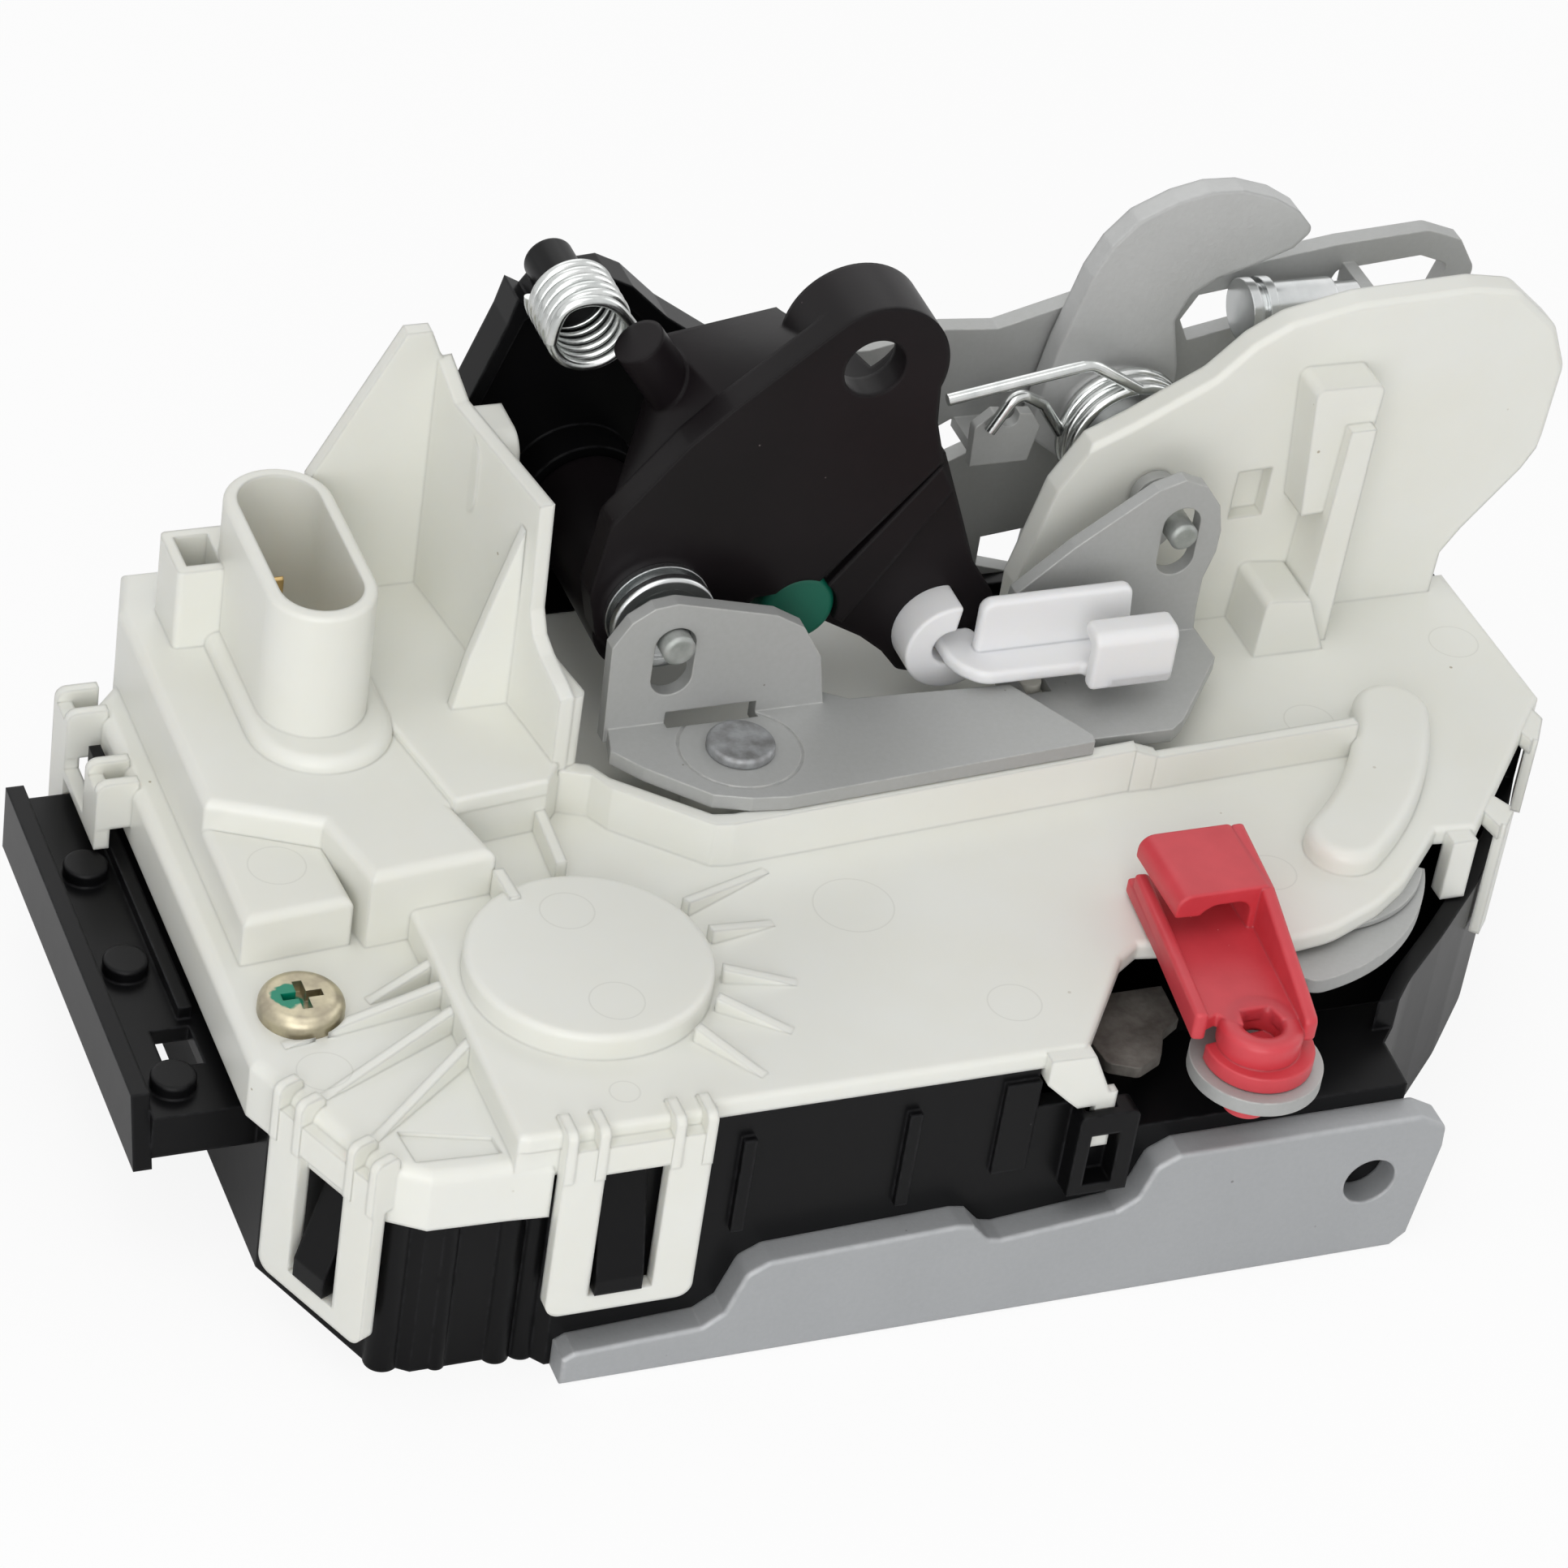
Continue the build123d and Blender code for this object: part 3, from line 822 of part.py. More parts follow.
def make_key_lever():
    """Steel lever under the deck: hub, round sector at the right and arm to its end disc."""
    hub = post(KEY_X, KEY_Y, KEY_Z, KEY_Z + SHEET_T, 9.0)
    rim = ThreePointArc((KEY_X + 2.0, KEY_Y - 33.6), (KEY_X + 17.0, KEY_Y - 28.6), (KEY_X + 27.0, KEY_Y - 16.0))
    sides = Polyline((KEY_X + 27.0, KEY_Y - 16.0), (KEY_X, KEY_Y), (KEY_X + 2.0, KEY_Y - 33.6))
    sector = extrude(Plane.XY.offset(KEY_Z) * make_face([rim, sides]), SHEET_T)
    sector = fillet(sector.edges().filter_by(Axis.Z).sort_by(Axis.Y)[0], 3.0)
    arm = flat([(KEY_X - 6.0, KEY_Y), (KEY_END_X - 4.6, KEY_END_Y), (KEY_END_X + 4.6, KEY_END_Y), (KEY_X + 6.0, KEY_Y)],
               KEY_Z, KEY_Z + SHEET_T)
    disc = post(KEY_END_X, KEY_END_Y, KEY_Z, KEY_Z + SHEET_T, KEY_END_R)
    lever = hub + sector + arm + disc
    lever -= post(KEY_END_X, KEY_END_Y, KEY_Z - 1.0, KEY_Z + 3.0, 3.0)
    return lever - post(KEY_X, KEY_Y, KEY_Z - 1.0, KEY_Z + 3.0, 3.0 + FIT)


def make_stop_crescent():
    """Second, smaller steel sheet seen beside the kidney boss, fixed under the deck."""
    rim = ThreePointArc((0.6, 20.6), (9.4, 22.4), (16.0, 29.0))
    sides = Polyline((16.0, 29.0), (8.0, 36.0), (-4.0, 28.0), (0.6, 20.6))
    return extrude(Plane.XY.offset(KEY_Z + SHEET_T + 0.3) * make_face([rim, sides]), 0.7)


def make_key_post():
    """Headed steel post that carries the key lever."""
    pin = post(KEY_X, KEY_Y, 8.0, KEY_Z + SHEET_T + 0.1, 3.0)
    return pin


def make_guide_plate():
    """Small steel plate seen under the deck beside the red clip."""
    line = [(-36.0, 21.6), (-34.6, 9.6), (-31.0, 7.8), (-27.4, 9.6), (-25.4, 13.6), (-22.6, 15.4), (-22.2, 21.6)]
    plate = flat(line, BLOCK_Z + 4.0, BLOCK_Z + 5.6, 1.2, line[1:5])
    return plate + post(-30.0, 15.6, BLOCK_Z, BLOCK_Z + 4.5, 2.6)


def make_latch_housing():
    """Upright black housing behind the outside lever: rim, recess, hub and spring post."""
    rim = [(-93.4, 40.0), (-93.4, 54.6), (-92.4, 58.6), (-87.6, 71.6), (-86.6, 75.4), (-84.6, 74.2),
           (-82.8, 76.8), (-75.0, 77.4), (-71.6, 75.6), (-66.4, 70.4), (-48.0, 57.0), (-48.0, 40.0)]
    shell = upright(rim, BACK_Y, BACK_Y + 5.4)
    shell -= upright([(-90.8, 26.0), (-90.8, 57.6), (-85.4, 72.0), (-82.0, 74.4), (-75.6, 75.0), (-73.0, 73.6),
                      (-67.6, 68.4), (-50.4, 55.8), (-50.4, 26.0)], BACK_Y - 1.0, BACK_Y + 3.6)
    lower = block(-93.4, -48.0, BACK_Y, BACK_Y + 11.0, -8.0, 50.0)
    lower -= block(-90.8, -50.4, BACK_Y - 1.0, BACK_Y + 9.0, 26.0, 51.0)
    lower -= block(-90.8, -52.0, BACK_Y + 2.0, BACK_Y + 9.0, -4.0, 23.0)
    lower += block(-93.4, -48.0, BACK_Y + 3.6, BACK_Y + 11.0, 48.0, 50.0)
    shell = shell - block(-90.8, -50.4, BACK_Y + 3.0, BACK_Y + 7.0, 39.0, 48.0) + lower
    shell += rod_y(-81.0, 77.0, 93.6, BACK_Y + 5.4, 3.2)
    shell += rod_y(LEVER_X, LEVER_Z, BACK_Y - 1.4, BACK_Y + 9.4, 8.4)
    shell -= rod_y(LEVER_X, LEVER_Z, BACK_Y - 3.0, BACK_Y + 10.0, PIVOT_R)
    for x in (-86.0, -52.6):
        for z in (32.0, 40.0):
            shell += block(x - 0.8, x + 0.8, BACK_Y + 4.0, BACK_Y + 9.4, z, z + 6.0)
    return shell


def make_back_screws():
    """Screws through the loop plate and the latch housing into the back wall."""
    screws = []
    for x, z, seat in ((-4.0, 4.0, BACK_Y + LOOP_T), (32.0, 4.0, BACK_Y + LOOP_T)):
        screws.append(rod_y(x, z, BACK_Y - 3.0, seat, 1.6) + rod_y(x, z, seat, seat + 2.2, 3.6))
    return Compound(children=screws)


def make_motor_can():
    """Steel can of the drive motor, with two flats."""
    can = rod_x(MOTOR_X0, MOTOR_X0 + MOTOR_LEN, WORM_Y, WORM_Z, MOTOR_R)
    can &= block(MOTOR_X0 - 1, MOTOR_X0 + MOTOR_LEN + 1, WORM_Y - 12.5, WORM_Y + 12.5, WORM_Z - 9.6, WORM_Z + 9.6)
    nose = rod_x(MOTOR_X0 - 2.0, MOTOR_X0 + 1.0, WORM_Y, WORM_Z, 4.0)
    return can + nose - rod_x(MOTOR_X0 - 3.0, MOTOR_X0 + 20.0, WORM_Y, WORM_Z, SHAFT_R + 0.05)


def make_motor_shaft():
    """Motor shaft that carries the worm."""
    return rod_x(-106.0, MOTOR_X0 + 19.0, WORM_Y, WORM_Z, SHAFT_R)


def make_worm():
    """Single-start worm on the motor shaft."""
    pitch = 2 * math.pi * (WHEEL_R - 0.6) / WHEEL_TEETH
    start = WHEEL_X - 0.06 - 3.25 * pitch
    path = Helix(pitch=pitch, height=6 * pitch, radius=WORM_R - 0.9)
    frame = Plane(origin=path @ 0, x_dir=(1, 0, 0), z_dir=path % 0)
    tooth = frame * make_face(Polyline((-0.3, -0.55), (1.2, -0.2), (1.2, 0.2), (-0.3, 0.55), close=True))
    thread = sweep(tooth, path=path, is_frenet=True)
    thread = Pos(start, WORM_Y, WORM_Z) * Rot(0, 90, 0) * thread
    core = rod_x(start - 0.8, start + 6 * pitch + 0.8, WORM_Y, WORM_Z, WORM_R - 0.9)
    return core + thread - rod_x(start - 2.0, start + 6 * pitch + 2.0, WORM_Y, WORM_Z, SHAFT_R)


def toothed(radius, root, teeth, z0, z1):
    """Wheel with straight pointed teeth."""
    points = []
    for k in range(teeth):
        for turn, reach in ((0.0, root), (0.3, root), (0.45, radius), (0.6, radius), (0.85, root)):
            angle = 2 * math.pi * (k + turn) / teeth
            points.append((reach * math.cos(angle), reach * math.sin(angle)))
    face = make_face(Polyline(*points, close=True))
    return extrude(Plane.XY.offset(z0) * face, z1 - z0)


def make_worm_wheel():
    """Plastic wheel driven by the worm, with its pinion on top."""
    wheel = Pos(WHEEL_X, WHEEL_Y) * toothed(WHEEL_R, WHEEL_R - 1.2, WHEEL_TEETH, 1.5, 10.5)
    pinion = Pos(WHEEL_X, WHEEL_Y) * toothed(PINION_R, PINION_R - 1.2, PINION_TEETH, 10.0, 19.0)
    return wheel + pinion - post(WHEEL_X, WHEEL_Y, -2.0, 22.0, 2.0 + FIT)


def make_wheel_post():
    """Steel post of the worm wheel."""
    return post(WHEEL_X, WHEEL_Y, -8.0, 21.0, 2.0)


def make_lock_slider():
    """Slider that carries the drive peg of the lock lever."""
    top = SLIDER_Z + 2.6
    rack = block(-112.0, -62.0, RACK_Y, RACK_Y + 4.6, SLIDER_Z, top)
    for k in range(-3, 4):
        x = WHEEL_X - 0.06 + k * RACK_PITCH
        tooth = flat([(x - 0.85, RACK_Y + 0.3), (x - 0.3, RACK_Y - 1.1), (x + 0.3, RACK_Y - 1.1),
                      (x + 0.85, RACK_Y + 0.3)], SLIDER_Z, top)
        rack += tooth
    arm = block(-66.0, -61.0, RACK_Y, PEG_Y + 3.0, SLIDER_Z, top)
    bar = block(-66.0, PEG_X + 2.2, PEG_Y - 3.0, PEG_Y + 3.0, SLIDER_Z, top)
    return rack + arm + bar + post(PEG_X, PEG_Y, top - 0.5, LOCK_Z + SHEET_T - 0.2, PEG_R)


def make_position_switch():
    """Small switch that reads the slider's place."""
    return block(-22.0, -14.0, 62.0, 74.0, TRAY_FLOOR, 4.0)


def make_end_stops():
    """Rubber stops at both ends of the slider's way."""
    return Compound(children=[block(-115.8, -113.9, RACK_Y, RACK_Y + 4.6, SLIDER_Z - 0.3, SLIDER_Z + 2.6),
                              block(-61.0 + 3.0, -56.4, RACK_Y, RACK_Y + 4.6, SLIDER_Z, SLIDER_Z + 2.6)])


def make_bus_bars():
    """Two brass strips from the connector to the motor."""
    bars = []
    for y in (74.6, 80.6):
        bars.append(block(SHROUD_X - 1.4, -100.0, y - 0.4, y + 0.4, HIGH_Z - 6.5, HIGH_Z - 4.0))
    return Compound(children=bars)


PARTS = {
    "white_cover": make_white_cover,
    "black_housing": make_black_housing,
    "mounting_plate": make_mounting_plate,
    "plate_screws": make_plate_screws,
    "cover_screw": make_cover_screw,
    "connector_terminals": make_connector_terminals,
    "outside_lever": make_outside_lever,
    "pivot_shaft": make_pivot_shaft,
    "guide_pin": make_guide_pin,
    "pivot_bush": make_pivot_bush,
    "bumper_disc": make_bumper_disc,
    "release_lever": make_release_lever,
    "release_rivet": make_release_rivet,
    "lock_lever": make_lock_lever,
    "lock_rivet": make_lock_rivet,
    "lock_crank": make_lock_crank,
    "lock_pin": make_lock_pin,
    "crank_pivot": make_crank_pivot,
    "claw": make_claw,
    "claw_stud": make_claw_stud,
    "loop_plate": make_loop_plate,
    "stop_stud": make_stop_stud,
    "return_spring": make_return_spring,
    "claw_spring": make_claw_spring,
    "white_rod_clip": make_white_rod_clip,
    "red_rod_clip": make_red_rod_clip,
    "key_lever": make_key_lever,
    "key_post": make_key_post,
    "guide_plate": make_guide_plate,
    "stop_crescent": make_stop_crescent,
    "latch_housing": make_latch_housing,
    "back_screws": make_back_screws,
    "motor_can": make_motor_can,
    "motor_shaft": make_motor_shaft,
    "worm": make_worm,
    "worm_wheel": make_worm_wheel,
    "wheel_post": make_wheel_post,
    "lock_slider": make_lock_slider,
    "position_switch": make_position_switch,
    "end_stops": make_end_stops,
    "bus_bars": make_bus_bars,
}


def main():
    """Write one file for each piece."""
    os.makedirs("parts", exist_ok=True)
    for name, maker in PARTS.items():
        export_step(maker(), f"parts/{name}.step")


main()
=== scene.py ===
"""Looks of a vehicle door latch actuator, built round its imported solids.

The solids give every rigid shape. This script gives them their finishes and the marks of their
moulds, models the two rod clips with softer forms, and adds the free arm of the return spring.
Lengths are in metres where nothing else is said, in the frame of the solids: the flange's bolt hole
is the origin, X runs along the long side, Y to the back and Z up.
"""

import logging
import math
from dataclasses import dataclass, field
from enum import Enum

import bmesh
import bpy
from mathutils import Matrix, Vector


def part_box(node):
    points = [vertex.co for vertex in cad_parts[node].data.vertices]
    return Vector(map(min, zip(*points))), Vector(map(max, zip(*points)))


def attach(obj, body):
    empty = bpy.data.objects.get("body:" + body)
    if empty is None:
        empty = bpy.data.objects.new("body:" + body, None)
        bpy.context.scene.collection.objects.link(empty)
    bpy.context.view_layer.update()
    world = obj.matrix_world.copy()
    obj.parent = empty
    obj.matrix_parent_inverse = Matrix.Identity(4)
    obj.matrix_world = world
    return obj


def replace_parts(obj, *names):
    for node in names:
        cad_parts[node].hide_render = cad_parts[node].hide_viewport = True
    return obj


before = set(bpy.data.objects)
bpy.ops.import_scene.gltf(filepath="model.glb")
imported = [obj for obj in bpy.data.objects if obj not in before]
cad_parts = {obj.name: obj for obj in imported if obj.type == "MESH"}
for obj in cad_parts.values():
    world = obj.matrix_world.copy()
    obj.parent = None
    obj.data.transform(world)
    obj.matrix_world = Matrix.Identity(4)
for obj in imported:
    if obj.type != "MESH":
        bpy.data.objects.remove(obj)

MM = 0.001
LOG = logging.getLogger("latch")
BEVEL_SAMPLES = 4
MARK_LINE_MM = 0.16
SHARP_EDGE = math.radians(28)
RING_STEP_DEG = 9
ROD_SEGMENTS = 40

Colour = tuple[float, float, float]
Point = tuple[float, float, float]


class Look(Enum):
    """Families of finish, by how light meets the surface."""

    PLASTIC = "plastic"
    METAL = "metal"


class Field:
    """A socket in a material that takes part in plain arithmetic."""

    def __init__(self, canvas: "Canvas", socket: bpy.types.NodeSocket) -> None:
        """Wrap a socket.

        Args:
            canvas: The material the socket belongs to.
            socket: The output socket that is wrapped.
        """
        self.canvas = canvas
        self.socket = socket

    def _math(self, operation: str, first: "Field | float", second: "Field | float") -> "Field":
        """Add one Math node and return its value."""
        return self.canvas.node("ShaderNodeMath", {"operation": operation}, {0: first, 1: second})

    def __add__(self, other: "Field | float") -> "Field":
        """Sum."""
        return self._math("ADD", self, other)

    __radd__ = __add__

    def __sub__(self, other: "Field | float") -> "Field":
        """Difference."""
        return self._math("SUBTRACT", self, other)

    def __rsub__(self, other: "Field | float") -> "Field":
        """Difference with the field taken away."""
        return self._math("SUBTRACT", other, self)

    def __mul__(self, other: "Field | float") -> "Field":
        """Product."""
        return self._math("MULTIPLY", self, other)

    __rmul__ = __mul__

    def __pow__(self, other: "Field | float") -> "Field":
        """Power."""
        return self._math("POWER", self, other)

    def above(self, edge: float) -> "Field":
        """One where the field is above an edge, and nought elsewhere."""
        return self._math("GREATER_THAN", self, edge)

    def size(self) -> "Field":
        """Length of a vector field."""
        return self.canvas.node("ShaderNodeVectorMath", {"operation": "LENGTH"}, {0: self}, "Value")

    def near(self, value: float, width: float) -> "Field":
        """One where the field has a value, falling to nought at a distance from it.

        Args:
            value: The value looked for.
            width: The distance at which the answer is nought.

        Returns:
            The clamped field.
        """
        return self._math("ABSOLUTE", self - value, 0.0).ramp(width, 0.0)

    def ramp(self, low: float, high: float) -> "Field":
        """Rise from nought to one between two values.

        Args:
            low: The value that gives nought.
            high: The value that gives one. It may be the smaller of the two.

        Returns:
            The clamped field.
        """
        return self.canvas.node(
            "ShaderNodeMapRange",
            {"clamp": True},
            {"Value": self, "From Min": low, "From Max": high, "To Min": 0.0, "To Max": 1.0},
        )


class Canvas:
    """One material under construction."""

    def __init__(self, name: str) -> None:
        """Start an empty material.

        Args:
            name: The material's name.
        """
        self.material = bpy.data.materials.new(name)
        self.material.use_nodes = True
        self.tree = self.material.node_tree
        self.tree.nodes.clear()

    def node(self, kind: str, settings: dict | None = None, feeds: dict | None = None,
             out: int | str = 0) -> Field:
        """Add a node, set it, feed its sockets and wrap one output.

        Args:
            kind: The node's type.
            settings: Properties set first, such as a Math node's operation.
            feeds: Values or fields by socket name or number.
            out: The output to wrap.

        Returns:
            The wrapped output.
        """
        made = self.tree.nodes.new(kind)
        for key, value in (settings or {}).items():
            setattr(made, key, value)
        for key, value in (feeds or {}).items():
            target = made.inputs[key]
            if isinstance(value, Field):
                self.tree.links.new(value.socket, target)
            else:
                target.default_value = value
        return Field(self, made.outputs[out]) if made.outputs else Field(self, None)

    def place(self, stretch: Point = (1.0, 1.0, 1.0), shift: Point = (0.0, 0.0, 0.0)) -> Field:
        """Object coordinates, stretched and shifted.

        Args:
            stretch: Factor along each axis.
            shift: Offset in metres along each axis.

        Returns:
            The vector field.
        """
        spot = self.node("ShaderNodeTexCoord", out="Object")
        return self.node("ShaderNodeMapping", {}, {"Vector": spot, "Location": shift, "Scale": stretch})

    def noise(self, grain_mm: float, detail: float = 3.0, stretch: Point = (1.0, 1.0, 1.0)) -> Field:
        """Soft noise with a given grain.

        Args:
            grain_mm: Size of one blotch, in millimetres.
            detail: Number of finer layers.
            stretch: Factor along each axis, for streaks.

        Returns:
            The noise from nought to one.
        """
        feeds = {"Vector": self.place(stretch), "Scale": 1.0 / (grain_mm * MM), "Detail": detail}
        return self.node("ShaderNodeTexNoise", {}, feeds)

    def cells(self, grain_mm: float) -> Field:
        """Distance to the nearest of scattered points, in cell sizes."""
        feeds = {"Vector": self.place(), "Scale": 1.0 / (grain_mm * MM)}
        return self.node("ShaderNodeTexVoronoi", {}, feeds, "Distance")

    def mix(self, amount: "Field | float", low: "Field | Colour", high: "Field | Colour") -> Field:
        """Blend two colours.

        Args:
            amount: Nought gives the first colour and one the second.
            low: First colour.
            high: Second colour.

        Returns:
            The blended colour.
        """
        first = low if isinstance(low, Field) else (*low, 1.0)
        second = high if isinstance(high, Field) else (*high, 1.0)
        return self.node("ShaderNodeMix", {"data_type": "RGBA"}, {0: amount, 6: first, 7: second}, 2)

    def edges(self, radius_mm: float) -> Field:
        """One along the edges of a solid, and nought on its faces.

        Args:
            radius_mm: Distance over which an edge counts, in millimetres.

        Returns:
            The mask.
        """
        facing = self.node("ShaderNodeNewGeometry", {}, {}, "Normal")
        return self.agreement(self.rounded(radius_mm), facing).ramp(0.995, 0.92)

    def rounded(self, radius_mm: float) -> Field:
        """Normal as if the edges were rounded with a radius in millimetres."""
        return self.node("ShaderNodeBevel", {"samples": BEVEL_SAMPLES}, {"Radius": radius_mm * MM})

    def agreement(self, first: Field, second: "Field | Point") -> Field:
        """Dot product of two directions."""
        feeds = {0: first, 1: second}
        return self.node("ShaderNodeVectorMath", {"operation": "DOT_PRODUCT"}, feeds, "Value")

    def rings(self, marks: tuple[Point, ...]) -> Field:
        """Thin circles on the faces that look up, such as the marks of a mould's ejector pins.

        Args:
            marks: Centre and radius of each circle, in millimetres.

        Returns:
            One on the circles' lines, and nought elsewhere.
        """
        facing = self.node("ShaderNodeNewGeometry", {}, {}, "Normal")
        upward = self.agreement(facing, (0, 0, 1))
        total = self.node("ShaderNodeValue")
        total.socket.default_value = 0.0
        for x, y, radius in marks:
            spot = self.place((1.0, 1.0, 0.0), (-x * MM, -y * MM, 0.0))
            total = total + spot.size().near(radius * MM, MARK_LINE_MM * MM)
        return total * upward.above(0.9)

    def finish(self, fixed: dict, fields: dict) -> bpy.types.Material:
        """Close the material with its shader and output.

        Args:
            fixed: Plain numbers for the shader's sockets.
            fields: Fields for the shader's sockets.

        Returns:
            The finished material.
        """
        shader = self.node("ShaderNodeBsdfPrincipled", {}, {**fixed, **fields})
        self.node("ShaderNodeOutputMaterial", {}, {"Surface": shader})
        return self.material


@dataclass(frozen=True)
class Finish:
    """A surface finish with its grain, its marks and its lighter edges, which are partly wear and partly painted
    highlight.

    Attributes:
        name: Name of the material.
        look: Family of the finish.
        colour: Main colour.
        shade: Colour of the cloudy places.
        cloud_mm: Size of the clouds.
        roughness: Mean roughness.
        spread: How much the roughness changes over the surface.
        grain_mm: Size of the surface's grain.
        grain_depth: Strength of the grain's relief.
        stretch: Direction of the grain, for drawn or brushed metal.
        specks: Share of cells with a dark speck.
        speck: Colour of the specks.
        speck_mm: Distance between possible specks.
        edge_mm: Radius of the softened edges.
        worn_and_lit_edge: Colour of the lighter edges, partly real wear and partly painted highlight.
        edge_wear_and_highlight: Strength of the lighter edges, partly real wear and partly painted highlight.
        depth: Share of light that passes into the plastic.
        metallic: Share of bare metal.
        gloss: Strength of the mirror-like reflection of plastics.
        mottle: Share of fine grain in the clouds' colour.
        marks: Centre and radius of ejector marks, in millimetres; their lines are darkened as painted shade of each
            mark's fine step.
    """

    name: str
    look: Look
    colour: Colour
    shade: Colour
    cloud_mm: float = 18.0
    roughness: float = 0.4
    spread: float = 0.1
    grain_mm: float = 0.35
    grain_depth: float = 0.08
    stretch: Point = (1.0, 1.0, 1.0)
    specks: float = 0.0
    speck: Colour = (0.2, 0.18, 0.15)
    speck_mm: float = 3.0
    edge_mm: float = 0.35
    worn_and_lit_edge: Colour = (0.8, 0.8, 0.8)
    edge_wear_and_highlight: float = 0.0
    depth: float = 0.0
    metallic: float = 1.0
    gloss: float = 0.5
    mottle: float = 0.0
    marks: tuple[Point, ...] = ()

    def base(self, canvas: Canvas) -> Field:
        """Colour over the surface, with clouds and specks.

        Args:
            canvas: The material under construction.

        Returns:
            The colour field.
        """
        clouds = canvas.noise(self.cloud_mm, 4.0).ramp(0.35, 0.7) * (1.0 - self.mottle)
        if self.mottle > 0:
            clouds = clouds + canvas.noise(self.grain_mm * 1.6, 3.0).ramp(0.32, 0.68) * self.mottle
        colour = canvas.mix(clouds, self.colour, self.shade)
        if self.specks > 0:
            spots = canvas.cells(self.speck_mm).ramp(0.5 * self.specks, 0.35 * self.specks)
            choice = canvas.noise(self.speck_mm * 1.7, 1.0).ramp(0.56, 0.6)
            colour = canvas.mix(spots * choice, colour, self.speck)
        if self.edge_wear_and_highlight > 0:
            # Lighter ragged edges: partly real wear, partly painted highlight along the rims.
            ragged_wear_and_highlight = canvas.edges(self.edge_mm) * canvas.noise(1.5).ramp(0.35, 0.6)
            colour = canvas.mix(ragged_wear_and_highlight * self.edge_wear_and_highlight, colour, self.worn_and_lit_edge)
        if self.marks:
            # The ejector circles are real marks. Their darker line is painted shade of each mark's fine step.
            painted_ring_shade = tuple(0.8 * channel for channel in self.shade)
            colour = canvas.mix(canvas.rings(self.marks) * 0.6, colour, painted_ring_shade)
        return colour

    def relief(self, canvas: Canvas) -> Field:
        """Normal over the surface, with softened edges and grain.

        Args:
            canvas: The material under construction.

        Returns:
            The normal field.
        """
        grain = canvas.noise(self.grain_mm, 2.0, self.stretch)
        feeds = {"Strength": self.grain_depth, "Distance": 0.1 * MM, "Height": grain,
                 "Normal": canvas.rounded(self.edge_mm)}
        return canvas.node("ShaderNodeBump", {}, feeds)

    def material(self) -> bpy.types.Material:
        """Build the finish.

        Returns:
            The material.
        """
        canvas = Canvas(self.name)
        rough = self.roughness + (canvas.noise(self.grain_mm * 9.0, 3.0, self.stretch) - 0.5) * self.spread
        fields = {"Base Color": self.base(canvas), "Roughness": rough, "Normal": self.relief(canvas)}
        metallic = self.metallic if self.look is Look.METAL else 0.0
        fixed = {"Metallic": metallic, "Specular IOR Level": self.gloss}
        if self.depth > 0:
            fixed.update({"Subsurface Weight": self.depth, "Subsurface Radius": (0.004, 0.0035, 0.0028),
                          "Subsurface Scale": 0.5})
        return canvas.finish(fixed, fields)


EJECTOR_MARKS = (
    (-46.9, 13.1, 3.3), (-5.5, 29.5, 3.3), (39.2, 69.0, 3.3), (12.5, 57.0, 3.3), (-59.6, 34.2, 5.0),
    (-98.3, 7.9, 1.8), (-96.1, 36.4, 3.3), (-95.6, 19.6, 3.3), (-127.2, 52.6, 3.5), (-129.5, 23.4, 3.3),
)

WHITE_COVER = Finish("white_cover", Look.PLASTIC, (0.765, 0.77, 0.725), (0.75, 0.75, 0.69), roughness=0.36,
                     specks=0.09, speck=(0.42, 0.38, 0.30), speck_mm=6.0, edge_mm=0.7, depth=0.2, grain_depth=0.04,
                     marks=EJECTOR_MARKS)
WHITE_CLIP = Finish("white_clip", Look.PLASTIC, (0.80, 0.80, 0.81), (0.78, 0.78, 0.78), roughness=0.40, edge_mm=0.5,
                    depth=0.3)
BLACK_CASE = Finish("black_case", Look.PLASTIC, (0.0035, 0.0035, 0.004), (0.0042, 0.0042, 0.0045), roughness=0.32,
                    spread=0.03, grain_depth=0.03, specks=0.06, speck=(0.06, 0.06, 0.06), speck_mm=4.5,
                    worn_and_lit_edge=(0.05, 0.05, 0.055), edge_wear_and_highlight=0.3, edge_mm=0.5, gloss=0.14)
BLACK_LEVER = Finish("black_lever", Look.PLASTIC, (0.0055, 0.0045, 0.005), (0.008, 0.006, 0.007), roughness=0.36,
                     spread=0.05, grain_mm=0.6, grain_depth=0.06, specks=0.08, speck=(0.10, 0.08, 0.08),
                     speck_mm=3.5, edge_mm=0.8, gloss=0.15)
RED_CLIP = Finish("red_clip", Look.PLASTIC, (0.60, 0.052, 0.068), (0.54, 0.042, 0.056), roughness=0.42, cloud_mm=5.0,
                  grain_mm=0.6, grain_depth=0.1, edge_mm=0.4, depth=0.2, specks=0.08, speck=(0.7, 0.3, 0.3),
                  speck_mm=3.0)
GREEN_BUMPER = Finish("green_bumper", Look.PLASTIC, (0.0, 0.115, 0.07), (0.0, 0.09, 0.055), roughness=0.5)
FLANGE_STEEL = Finish("flange_steel", Look.METAL, (0.42, 0.43, 0.44), (0.39, 0.40, 0.41), cloud_mm=16.0,
                      roughness=0.60, spread=0.03, grain_mm=0.45, grain_depth=0.22, specks=0.12,
                      speck=(0.24, 0.24, 0.24), speck_mm=4.0, edge_mm=0.6, worn_and_lit_edge=(0.72, 0.72, 0.72), edge_wear_and_highlight=0.5,
                      metallic=0.55, mottle=0.5)
